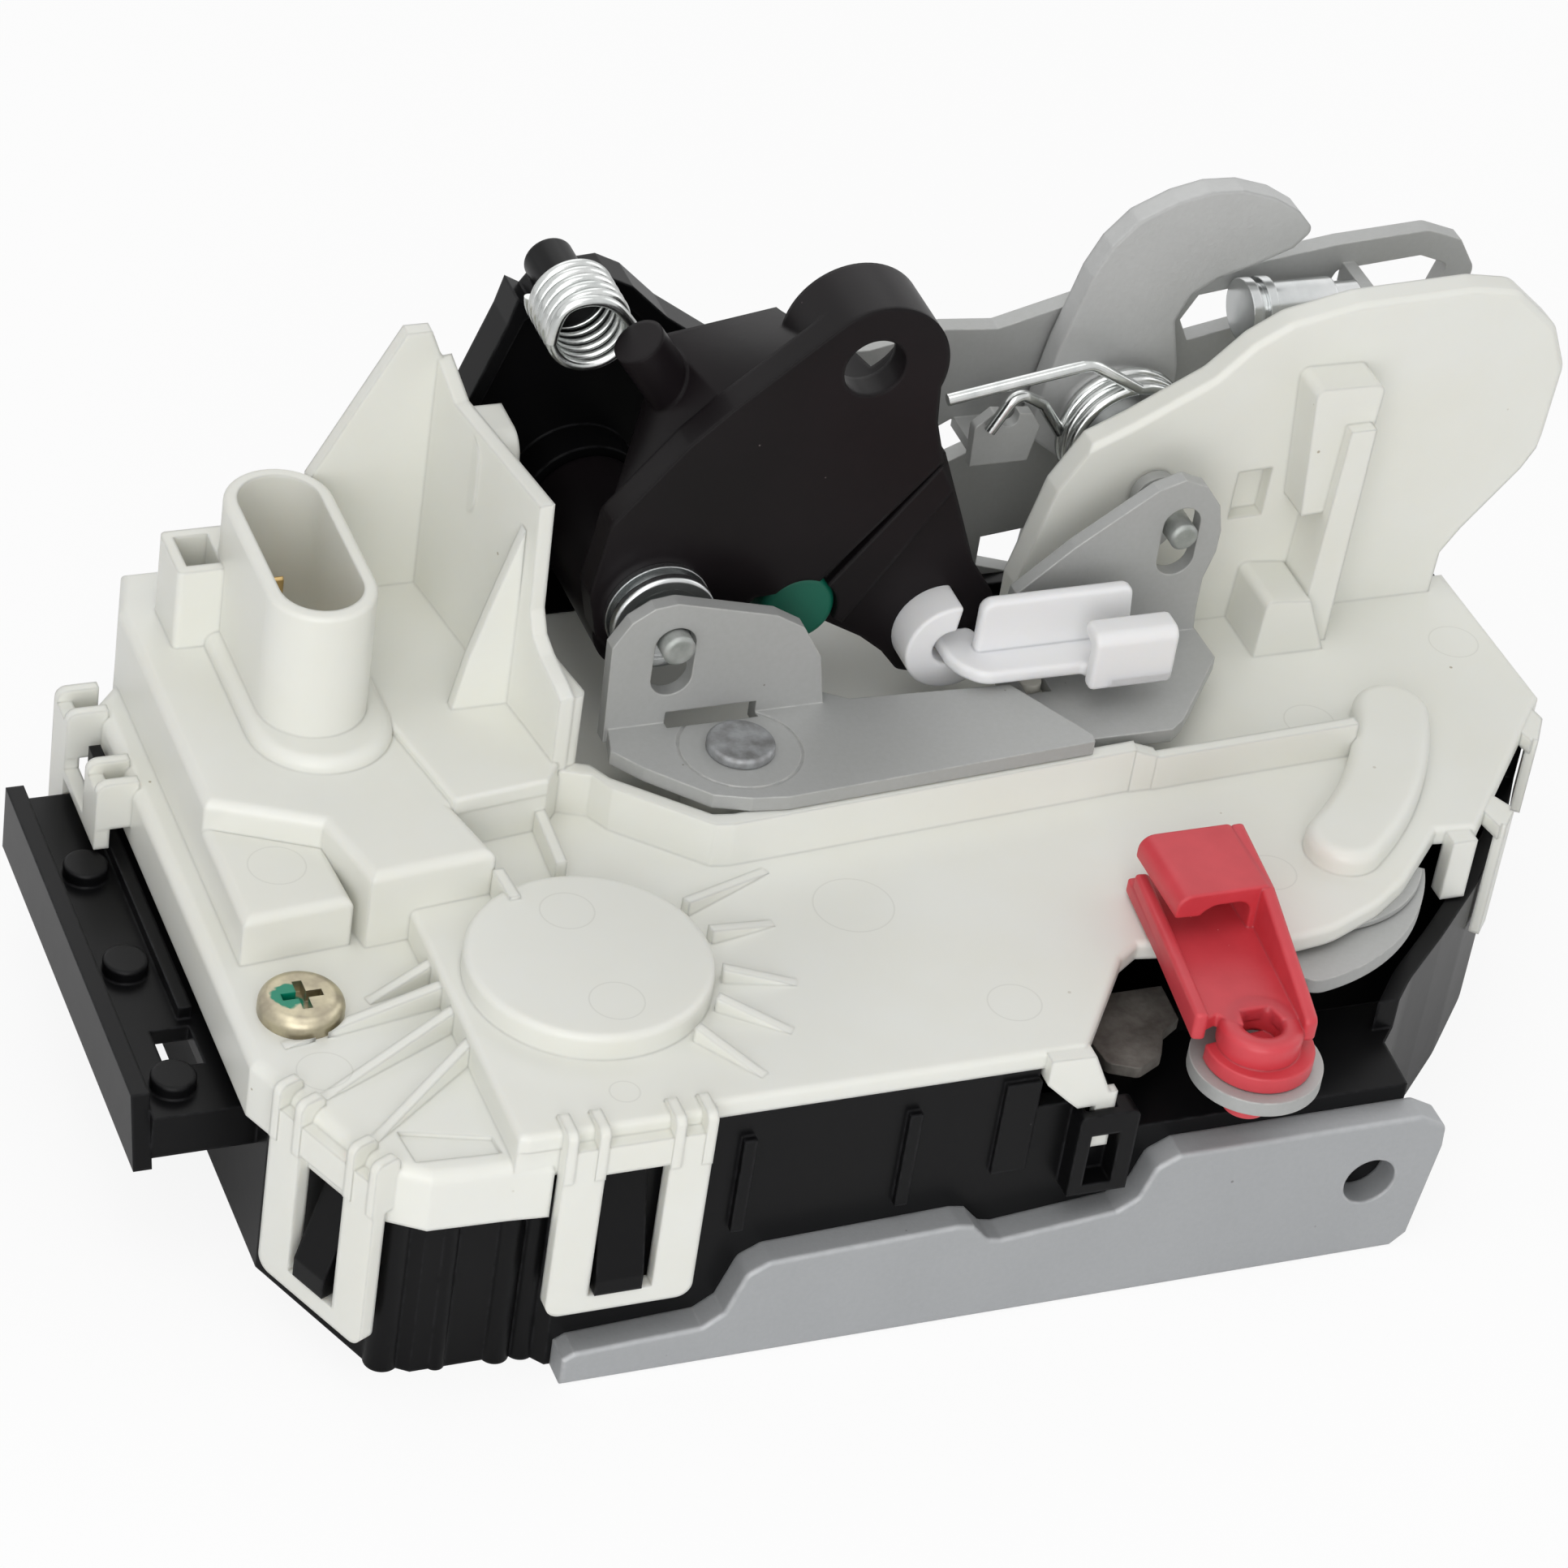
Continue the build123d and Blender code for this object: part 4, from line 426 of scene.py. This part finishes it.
LEVER_STEEL = Finish("lever_steel", Look.METAL, (0.43, 0.435, 0.43), (0.40, 0.405, 0.395), cloud_mm=14.0,
                     roughness=0.60, spread=0.03, grain_mm=0.45, grain_depth=0.16, specks=0.12,
                     speck=(0.25, 0.24, 0.22), speck_mm=3.0, edge_mm=0.3, worn_and_lit_edge=(0.66, 0.65, 0.62), edge_wear_and_highlight=0.5,
                     metallic=0.55, mottle=0.5)
CAST_STEEL = Finish("cast_steel", Look.METAL, (0.53, 0.535, 0.53), (0.49, 0.495, 0.49), cloud_mm=12.0,
                    roughness=0.62, spread=0.05, grain_mm=0.6, grain_depth=0.5, edge_mm=0.8, metallic=0.5, mottle=0.4)
DARK_STEEL = Finish("dark_steel", Look.METAL, (0.22, 0.21, 0.19), (0.10, 0.09, 0.08), cloud_mm=5.0, roughness=0.6,
                    spread=0.2, grain_mm=0.6, grain_depth=0.4, edge_mm=0.3, metallic=0.5, mottle=0.3)
BRIGHT_ZINC = Finish("bright_zinc", Look.METAL, (0.66, 0.67, 0.67), (0.52, 0.54, 0.54), cloud_mm=6.0,
                     roughness=0.24, spread=0.12, grain_mm=0.3, grain_depth=0.05, edge_mm=0.25)
SPRING_WIRE = Finish("spring_wire", Look.METAL, (0.66, 0.67, 0.66), (0.52, 0.54, 0.53), cloud_mm=3.0,
                     roughness=0.22, spread=0.1, edge_mm=0.1)
DARK_PIN = Finish("dark_pin", Look.METAL, (0.40, 0.41, 0.40), (0.28, 0.30, 0.28), cloud_mm=2.0, roughness=0.45,
                  spread=0.2, edge_mm=0.5, metallic=0.7)
RIVET_STEEL = Finish("rivet_steel", Look.METAL, (0.36, 0.37, 0.38), (0.20, 0.20, 0.20), cloud_mm=2.0,
                     roughness=0.5, spread=0.2, grain_mm=0.7, grain_depth=0.6, edge_mm=0.6, metallic=0.6)
BRASS = Finish("brass_terminal", Look.METAL, (0.78, 0.56, 0.26), (0.66, 0.46, 0.20), roughness=0.3)
GEAR_WHITE = Finish("gear_white", Look.PLASTIC, (0.80, 0.78, 0.70), (0.76, 0.74, 0.66), roughness=0.4)
BLACK_RUBBER = Finish("black_rubber", Look.PLASTIC, (0.02, 0.02, 0.02), (0.03, 0.03, 0.03), roughness=0.8)

NODE_FINISHES = {
    WHITE_COVER: ["white_cover"],
    WHITE_CLIP: ["white_rod_clip"],
    BLACK_CASE: ["black_housing", "latch_housing", "position_switch"],
    BLACK_LEVER: ["outside_lever"],
    RED_CLIP: ["red_rod_clip"],
    GREEN_BUMPER: ["bumper_disc"],
    FLANGE_STEEL: ["mounting_plate", "plate_screws"],
    LEVER_STEEL: ["release_lever", "lock_lever", "lock_crank", "loop_plate", "key_lever", "stop_crescent"],
    CAST_STEEL: ["claw"],
    BRIGHT_ZINC: ["pivot_bush", "pivot_shaft", "crank_pivot", "claw_stud", "stop_stud", "back_screws", "key_post",
                  "motor_can", "motor_shaft", "wheel_post"],
    DARK_STEEL: ["guide_plate"],
    SPRING_WIRE: ["return_spring", "claw_spring"],
    DARK_PIN: ["guide_pin", "lock_pin"],
    RIVET_STEEL: ["release_rivet", "lock_rivet"],
    BRASS: ["connector_terminals", "bus_bars", "worm"],
    GEAR_WHITE: ["worm_wheel", "lock_slider"],
    BLACK_RUBBER: ["end_stops"],
}


@dataclass(frozen=True)
class ScrewFinish:
    """Yellow zinc with a dab of green paint in the cross recess.

    Attributes:
        centre: Axis of the screw, in millimetres.
    """

    centre: tuple[float, float] = (-129.2, 34.2)

    def material(self) -> bpy.types.Material:
        """Build the finish.

        Returns:
            The material.
        """
        canvas = Canvas("yellow_zinc_screw")
        colour = canvas.mix(canvas.noise(2.5, 3.0).ramp(0.35, 0.65), (0.52, 0.47, 0.34), (0.36, 0.32, 0.24))
        shift = (-self.centre[0] * MM, -self.centre[1] * MM, 0.0)
        x_field = canvas.node("ShaderNodeSeparateXYZ", {}, {0: canvas.place(shift=shift)})
        y_field = Field(canvas, x_field.socket.node.outputs[1])
        wobble = (canvas.noise(1.4, 2.0) - 0.5) * (1.6 * MM)
        ring = ((x_field + 1.6 * MM) ** 2.0 + (y_field - 0.2 * MM) ** 2.0) ** 0.5
        paint = (ring + wobble).ramp(2.2 * MM, 1.9 * MM)
        colour = canvas.mix(paint, colour, (0.0, 0.22, 0.13))
        rough = canvas.noise(0.8, 2.0) * 0.2 + 0.28
        return canvas.finish({}, {"Base Color": colour, "Metallic": 1.0 - paint, "Roughness": rough,
                                  "Normal": canvas.rounded(0.2)})


def dress_nodes() -> dict[Finish, bpy.types.Material]:
    """Give every solid its finish.

    Returns:
        The materials by their finishes.
    """
    screw = ScrewFinish().material()
    built = {}
    for finish, names in NODE_FINISHES.items():
        made = finish.material()
        built[finish] = made
        for name in names:
            dress(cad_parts[name], made)
            LOG.info("%s: %s", name, finish.name)
    dress(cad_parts["cover_screw"], screw)
    return built


def add_pieces(built: dict[Finish, bpy.types.Material]) -> None:
    """Make the pieces that the solids leave plain.

    Args:
        built: The materials by their finishes.
    """
    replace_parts(RedClip().build(built[RED_CLIP]), "red_rod_clip")
    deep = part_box("white_rod_clip")[1][1] / MM
    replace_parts(WhiteClip().build(built[WHITE_CLIP], deep), "white_rod_clip")
    SpringArm().build(built[SPRING_WIRE])


def dress(piece: bpy.types.Object, material: bpy.types.Material) -> None:
    """Put one material on a whole piece.

    Args:
        piece: The object.
        material: Its material.
    """
    piece.data.materials.clear()
    piece.data.materials.append(material)


class Way(Enum):
    """Directions in which an outline is drawn out, with the turn that takes it there."""

    FLAT = Matrix.Identity(4)
    UPRIGHT = Matrix(((1, 0, 0, 0), (0, 0, 1, 0), (0, 1, 0, 0), (0, 0, 0, 1)))
    SIDE = Matrix(((0, 0, 1, 0), (1, 0, 0, 0), (0, 1, 0, 0), (0, 0, 0, 1)))


class Moulding:
    """A moulded piece put together from soft-edged parts, in millimetres.

    FLAT parts are drawn in X and Y and run along Z, UPRIGHT ones in X and Z along Y, and SIDE ones in
    Y and Z along X.
    """

    def __init__(self, name: str) -> None:
        """Start an empty piece.

        Args:
            name: Name of the finished object.
        """
        self.name = name
        self.shape = bmesh.new()

    def take(self, part: bmesh.types.BMesh, way: Way, soften: float, lean: float = 0.0) -> None:
        """Soften a part's edges, turn it and add it to the piece.

        Args:
            part: The part, which is used up.
            way: Direction in which it was drawn.
            soften: Radius of its edges.
            lean: Sideways shift in X for each millimetre in Y.
        """
        bmesh.ops.recalc_face_normals(part, faces=part.faces)
        sharp = [edge for edge in part.edges if edge.calc_face_angle(0.0) > SHARP_EDGE]
        bmesh.ops.bevel(part, geom=sharp, offset=soften, offset_type="OFFSET", segments=2, profile=0.5,
                        affect="EDGES", clamp_overlap=True, material=-1)
        shear = Matrix.Identity(4)
        shear[0][1] = lean
        bmesh.ops.transform(part, matrix=shear @ way.value, verts=part.verts)
        bmesh.ops.remove_doubles(part, verts=part.verts, dist=0.001)
        bmesh.ops.recalc_face_normals(part, faces=part.faces)
        held = bpy.data.meshes.new("held")
        part.to_mesh(held)
        part.free()
        self.shape.from_mesh(held)
        bpy.data.meshes.remove(held)

    def prism(self, outline: list[tuple[float, float]], low: float, high: float, way: Way = Way.FLAT,
              rounds: dict[int, float] | None = None, soften: float = 0.35, lean: float = 0.0) -> None:
        """Add an outline drawn out between two levels.

        Args:
            outline: Corners in order.
            low: First level.
            high: Last level.
            way: Direction of the draw.
            rounds: Radius of single corners by their number.
            soften: Radius of all other edges.
            lean: Sideways shift in X for each millimetre in Y.
        """
        part = bmesh.new()
        corners = [part.verts.new((*corner, low)) for corner in outline]
        for first, second in zip(corners, corners[1:] + corners[:1]):
            part.edges.new((first, second))
        bmesh.ops.edgeloop_fill(part, edges=part.edges[:])
        grown = bmesh.ops.extrude_face_region(part, geom=part.faces[:])["geom"]
        tops = [item for item in grown if isinstance(item, bmesh.types.BMVert)]
        bmesh.ops.translate(part, verts=tops, vec=(0, 0, high - low))
        bmesh.ops.recalc_face_normals(part, faces=part.faces)
        for number, radius in (rounds or {}).items():
            spot = Vector(outline[number])
            walls = [edge for edge in part.edges if all((v.co.xy - spot).length < 0.01 for v in edge.verts)]
            bmesh.ops.bevel(part, geom=walls, offset=radius, offset_type="OFFSET", segments=6, profile=0.5,
                            affect="EDGES", clamp_overlap=True, material=-1)
        self.take(part, way, soften, lean)

    def ring(self, centre: tuple[float, float], inner: float, outer: float, low: float, high: float,
             way: Way = Way.FLAT, start: float = 0.0, sweep: float = 360.0, soften: float = 0.35) -> None:
        """Add a ring, or a part of one.

        Args:
            centre: Centre in the plane of the outline.
            inner: Radius of the bore.
            outer: Outer radius.
            low: First level.
            high: Last level.
            way: Direction of the axis.
            start: Angle of the first end, in degrees.
            sweep: Angle that the ring covers, in degrees.
            soften: Radius of the edges.
        """
        part = bmesh.new()
        bmesh.ops.create_grid(part, x_segments=1, y_segments=1, size=0.5)
        bmesh.ops.scale(part, verts=part.verts, vec=(outer - inner, high - low, 1.0))
        bmesh.ops.rotate(part, verts=part.verts, cent=(0, 0, 0), matrix=Matrix.Rotation(math.pi / 2, 3, "X"))
        bmesh.ops.translate(part, verts=part.verts, vec=((inner + outer) / 2, 0, (low + high) / 2))
        bmesh.ops.rotate(part, verts=part.verts, cent=(0, 0, 0),
                         matrix=Matrix.Rotation(math.radians(start), 3, "Z"))
        whole = sweep >= 360.0
        if whole:
            bmesh.ops.delete(part, geom=part.faces[:], context="FACES_ONLY")
        geom = part.faces[:] + part.edges[:] + part.verts[:]
        bmesh.ops.spin(part, geom=geom, cent=(0, 0, 0), axis=(0, 0, 1), angle=math.radians(sweep),
                       steps=max(8, round(sweep / RING_STEP_DEG)), use_merge=whole)
        bmesh.ops.translate(part, verts=part.verts, vec=(*centre, 0))
        self.take(part, way, soften)

    def rod(self, centre: tuple[float, float], radius: float, low: float, high: float, way: Way = Way.FLAT,
            cut: tuple[Point, Point] | None = None, soften: float = 0.3) -> None:
        """Add a round rod or disc, which a plane may cut.

        Args:
            centre: Centre in the plane of the outline.
            radius: Radius of the rod.
            low: First level.
            high: Last level.
            way: Direction of the axis.
            cut: A point of the cutting plane and its direction, which points to the part that goes.
            soften: Radius of the edges.
        """
        part = bmesh.new()
        bmesh.ops.create_cone(part, cap_ends=True, segments=ROD_SEGMENTS, radius1=radius, radius2=radius,
                              depth=high - low, matrix=Matrix.Translation((*centre, (low + high) / 2)))
        if cut:
            sliced = bmesh.ops.bisect_plane(part, geom=part.verts[:] + part.edges[:] + part.faces[:],
                                            plane_co=cut[0], plane_no=cut[1], clear_outer=True)
            rim = [item for item in sliced["geom_cut"] if isinstance(item, bmesh.types.BMEdge)]
            bmesh.ops.holes_fill(part, edges=rim)
        self.take(part, way, soften)

    def done(self, material: bpy.types.Material, body: str) -> bpy.types.Object:
        """Make the object.

        Args:
            material: Its finish.
            body: The body that it rides on.

        Returns:
            The finished object.
        """
        bmesh.ops.scale(self.shape, verts=self.shape.verts, vec=(MM, MM, MM))
        mesh = bpy.data.meshes.new(self.name)
        self.shape.to_mesh(mesh)
        self.shape.free()
        piece = bpy.data.objects.new(self.name, mesh)
        bpy.context.scene.collection.objects.link(piece)
        for face in mesh.polygons:
            face.use_smooth = True
        piece.modifiers.new("edges", "WEIGHTED_NORMAL").keep_sharp = True
        dress(piece, material)
        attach(piece, body)
        return piece


@dataclass
class RedClip:
    """Red clip on the key lever: a ring over the lever's end and a channel with a hooked roof.

    Attributes:
        axis: Centre of the ring and of the lever's end, in millimetres.
        disc_top: Top of the lever's end.
        floor: Lowest and highest level of the channel's floor.
        wall_top: Top of the low wall.
        roof_top: Top of the hook.
        rod: Radius of the rod that the clip holds.
    """

    axis: tuple[float, float] = (-19.8, 1.0)
    disc_top: float = 23.1
    floor: tuple[float, float] = (26.8, 28.8)
    wall_top: float = 30.8
    roof_top: float = 35.3
    rod: float = 2.5

    def build(self, material: bpy.types.Material) -> bpy.types.Object:
        """Make the clip.

        Args:
            material: Its finish.

        Returns:
            The finished object.
        """
        clip = Moulding("red_clip_moulding")
        x, y = self.axis
        under, over = self.floor
        clip.rod((x, y), 2.9, 15.7, self.disc_top + 1.0)
        clip.rod((x + 0.3, y + 0.2), 6.8, self.disc_top, self.disc_top + 2.2, soften=0.6,
                 cut=((x, y + 2.2, 0.0), (-0.12, 1.0, 0.0)))
        clip.ring((x, y + 0.2), self.rod, 5.2, self.disc_top + 1.6, over, soften=0.9)
        clip.prism([(-25.4, 29.6), (-28.3, 2.2), (-24.9, y + self.rod), (-23.6, y + 0.8), (x - self.rod, y),
                    (x - 1.9, y + self.rod), (x + 1.9, y + self.rod), (x + self.rod, y), (-14.4, y - 0.4),
                    (-12.4, 29.8)], under, over + 0.1)
        clip.prism([(-25.4, 28.2), (-28.7, 1.8), (-27.0, 1.4), (-23.6, 28.0)], under, self.wall_top,
                   soften=0.5)
        lean = 0.09
        edge = -14.4
        clip.prism([(y - 2.4, under), (y - 2.4, over + 1.2), (y + 1.0, over + 2.2), (17.5, self.roof_top - 0.3),
                    (29.8, self.roof_top), (29.8, under)], edge - 0.9, edge + 0.9, Way.SIDE, {1: 0.8}, 0.5, lean)
        clip.prism([(-24.8, 32.0), (-24.8, self.roof_top), (-12.2, self.roof_top), (-12.2, under), (-14.6, under),
                    (-14.6, 33.2), (-20.4, 33.2), (-21.4, 31.8)], 17.6, 29.9, Way.UPRIGHT,
                   {1: 2.0, 2: 1.0, 5: 2.0, 6: 1.4}, 0.5)
        return clip.done(material, "red_clip")


@dataclass
class WhiteClip:
    """White clip on the outside lever: an open clasp over the pin and a channel with a front hook.

    Attributes:
        pin: Axis of the pin in X and Z, in millimetres.
        bore: Centre of the clasp's bore in X and Z.
        back: Front and back of the upright wall.
        front: Front of the hook.
        floor: Lowest and highest level of the channel's floor.
        top: Top of the wall.
    """

    pin: tuple[float, float] = (-37.6, 37.2)
    bore: tuple[float, float] = (-34.9, 38.3)
    back: tuple[float, float] = (65.0, 67.0)
    front: float = 57.0
    floor: tuple[float, float] = (36.0, 38.0)
    top: float = 45.5

    def build(self, material: bpy.types.Material, deep: float) -> bpy.types.Object:
        """Make the clip.

        Args:
            material: Its finish.
            deep: The back end of the pin, in millimetres.

        Returns:
            The finished object.
        """
        clip = Moulding("white_clip_moulding")
        under, over = self.floor
        clip.rod(self.pin, 2.3, 70.0, deep, Way.UPRIGHT)
        clip.ring((self.bore[0] - 0.6, self.bore[1] - 0.4), 2.5, 6.2, 66.6, 75.4, Way.UPRIGHT, 82.0, 250.0, 0.7)
        clip.prism([(-36.6, 70.6), (-36.6, 64.0), (-33.4, 60.6), (-20.0, 60.4), (-17.8, self.front),
                    (-8.8, self.front), (-9.6, 66.8), (-30.2, 67.2), (-31.6, 70.6)], under, over,
                   rounds={1: 2.0, 2: 1.5, 5: 0.8}, soften=0.6)
        clip.prism([(-32.8, under), (-32.8, self.top), (-12.2, self.top), (-11.4, under)], *self.back, Way.UPRIGHT,
                   {1: 1.6, 2: 1.2}, 0.6)
        near = self.front
        clip.prism([(near, under), (near, 44.3), (near + 4.4, 44.3), (near + 4.4, 42.4), (near + 2.2, 42.0),
                    (near + 2.2, under)], -20.3, -8.8, Way.SIDE, {1: 1.6, 4: 0.8}, 0.7)
        return clip.done(material, "white_clip")


@dataclass
class SpringArm:
    """Free end of the return spring, which runs from the coil towards the outside lever.

    Attributes:
        wire: Radius of the wire, in millimetres.
        points: Middle line of the wire, in millimetres.
    """

    wire: float = 0.72
    points: tuple[Point, ...] = ((-85.9, 87.4, 76.0), (-85.7, 87.3, 80.2), (-82.9, 87.2, 82.0), (-79.3, 87.1, 81.6),
                                 (-76.9, 87.0, 79.4), (-74.0, 86.95, 75.0))

    def build(self, material: bpy.types.Material) -> bpy.types.Object:
        """Make the arm.

        Args:
            material: Its finish.

        Returns:
            The finished object.
        """
        data = bpy.data.curves.new("return_spring_arm", "CURVE")
        data.dimensions = "3D"
        data.bevel_depth = self.wire * MM
        data.bevel_resolution = 4
        data.use_fill_caps = True
        line = data.splines.new("NURBS")
        line.points.add(len(self.points) - 1)
        for knot, place in zip(line.points, self.points):
            knot.co = (*(value * MM for value in place), 1.0)
        line.order_u = 3
        line.use_endpoint_u = True
        line.resolution_u = 8
        piece = bpy.data.objects.new("return_spring_arm", data)
        bpy.context.scene.collection.objects.link(piece)
        data.materials.append(material)
        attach(piece, "housing")
        return piece


@dataclass
class Studio:
    """Camera, lamps and floor.

    Attributes:
        focal: Focal length in pixels of the photograph.
        frame_px: Width of the photograph in pixels.
        elevation: Camera's height over the horizon, in degrees.
        azimuth: Camera's turn round the object, in degrees.
        roll: Camera's roll, in degrees.
        stand: Camera's place, in metres.
        floor_z: Height of the floor, in metres.
        sky: Strength of the light that comes from all round.
        ground_glow: Share of plain white in the floor that the camera sees.
        lamps: Name, place, size and power of each lamp.
    """

    focal: float = 7000.0
    frame_px: float = 1932.0
    elevation: float = 37.8
    azimuth: float = -26.2
    roll: float = 9.3
    stand: Point = (-0.30605, -0.44241, 0.45924)
    floor_z: float = -0.0121
    sky: float = 0.42
    ground_glow: float = 0.88
    lamps: list[tuple[str, Point, float, float]] = field(default_factory=lambda: [
        ("key_lamp", (-0.30, -0.20, 0.95), 0.9, 3.2),
        ("fill_lamp", (-0.55, -0.95, 0.40), 0.9, 6.5),
        ("side_lamp", (0.9, 0.1, 0.6), 0.7, 1.5),
        ("back_lamp", (0.1, 1.0, 0.7), 0.8, 1.5),
    ])

    def camera(self) -> None:
        """Set the camera at the photograph's place and angle."""
        turn, rise, roll = (math.radians(v) for v in (self.azimuth, self.elevation, self.roll))
        back = Vector((math.sin(turn) * math.cos(rise), -math.cos(turn) * math.cos(rise), math.sin(rise)))
        right = (-back).cross(Vector((0, 0, 1))).normalized()
        up = right.cross(-back)
        rolled_right = right * math.cos(roll) + up * math.sin(roll)
        rolled_up = up * math.cos(roll) - right * math.sin(roll)
        data = bpy.data.cameras.new("camera")
        data.sensor_width = 36.0
        data.lens = 36.0 * self.focal / self.frame_px
        data.clip_start = 0.01
        camera = bpy.data.objects.new("camera", data)
        turned = Matrix((rolled_right, rolled_up, back)).transposed().to_4x4()
        camera.matrix_world = Matrix.Translation(self.stand) @ turned
        bpy.context.scene.collection.objects.link(camera)
        bpy.context.scene.camera = camera

    def light(self) -> None:
        """Hang the soft lamps and set the world."""
        for name, place, size, power in self.lamps:
            data = bpy.data.lights.new(name, "AREA")
            data.size = size
            data.energy = power
            lamp = bpy.data.objects.new(name, data)
            lamp.location = place
            aim = Vector((-0.04, 0.05, 0.02)) - Vector(place)
            lamp.rotation_euler = aim.to_track_quat("-Z", "Y").to_euler()
            bpy.context.scene.collection.objects.link(lamp)
        world = bpy.data.worlds.new("studio")
        world.use_nodes = True
        bpy.context.scene.world = world
        nodes, links = world.node_tree.nodes, world.node_tree.links
        backdrop = nodes["Background"]
        backdrop.inputs["Color"].default_value = (1.0, 1.0, 1.0, 1.0)
        path = nodes.new("ShaderNodeLightPath")
        strength = None
        for ray in ("Is Camera Ray", "Is Glossy Ray", "Is Transmission Ray"):
            seen = nodes.new("ShaderNodeMath")
            seen.operation = "MAXIMUM"
            links.new(path.outputs[ray], seen.inputs[0])
            seen.inputs[1].default_value = self.sky
            if strength is not None:
                links.new(strength, seen.inputs[1])
            strength = seen.outputs[0]
        links.new(strength, backdrop.inputs["Strength"])
        bpy.context.scene.view_settings.view_transform = "Standard"

    def floor(self) -> None:
        """Lay a pale floor under the object."""
        mesh = bpy.data.meshes.new("floor")
        shape = bmesh.new()
        bmesh.ops.create_grid(shape, x_segments=1, y_segments=1, size=6.0,
                              matrix=Matrix.Translation((0, 0, self.floor_z)))
        shape.to_mesh(mesh)
        shape.free()
        ground = bpy.data.objects.new("floor", mesh)
        bpy.context.scene.collection.objects.link(ground)
        canvas = Canvas("floor")
        matt = canvas.node("ShaderNodeBsdfDiffuse", {}, {"Color": (0.93, 0.93, 0.93, 1.0)})
        glow = canvas.node("ShaderNodeEmission", {}, {"Color": (1.0, 1.0, 1.0, 1.0), "Strength": 1.0})
        seen = canvas.node("ShaderNodeLightPath", {}, {}, "Is Camera Ray")
        blend = canvas.node("ShaderNodeMixShader", {}, {0: seen * self.ground_glow, 1: matt, 2: glow})
        canvas.node("ShaderNodeOutputMaterial", {}, {"Surface": blend})
        dress(ground, canvas.material)


def main() -> None:
    """Dress the solids and set up the studio."""
    logging.basicConfig(level=logging.INFO)
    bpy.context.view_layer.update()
    add_pieces(dress_nodes())
    studio = Studio()
    studio.camera()
    studio.light()
    studio.floor()


if __name__ == "__main__":
    main()
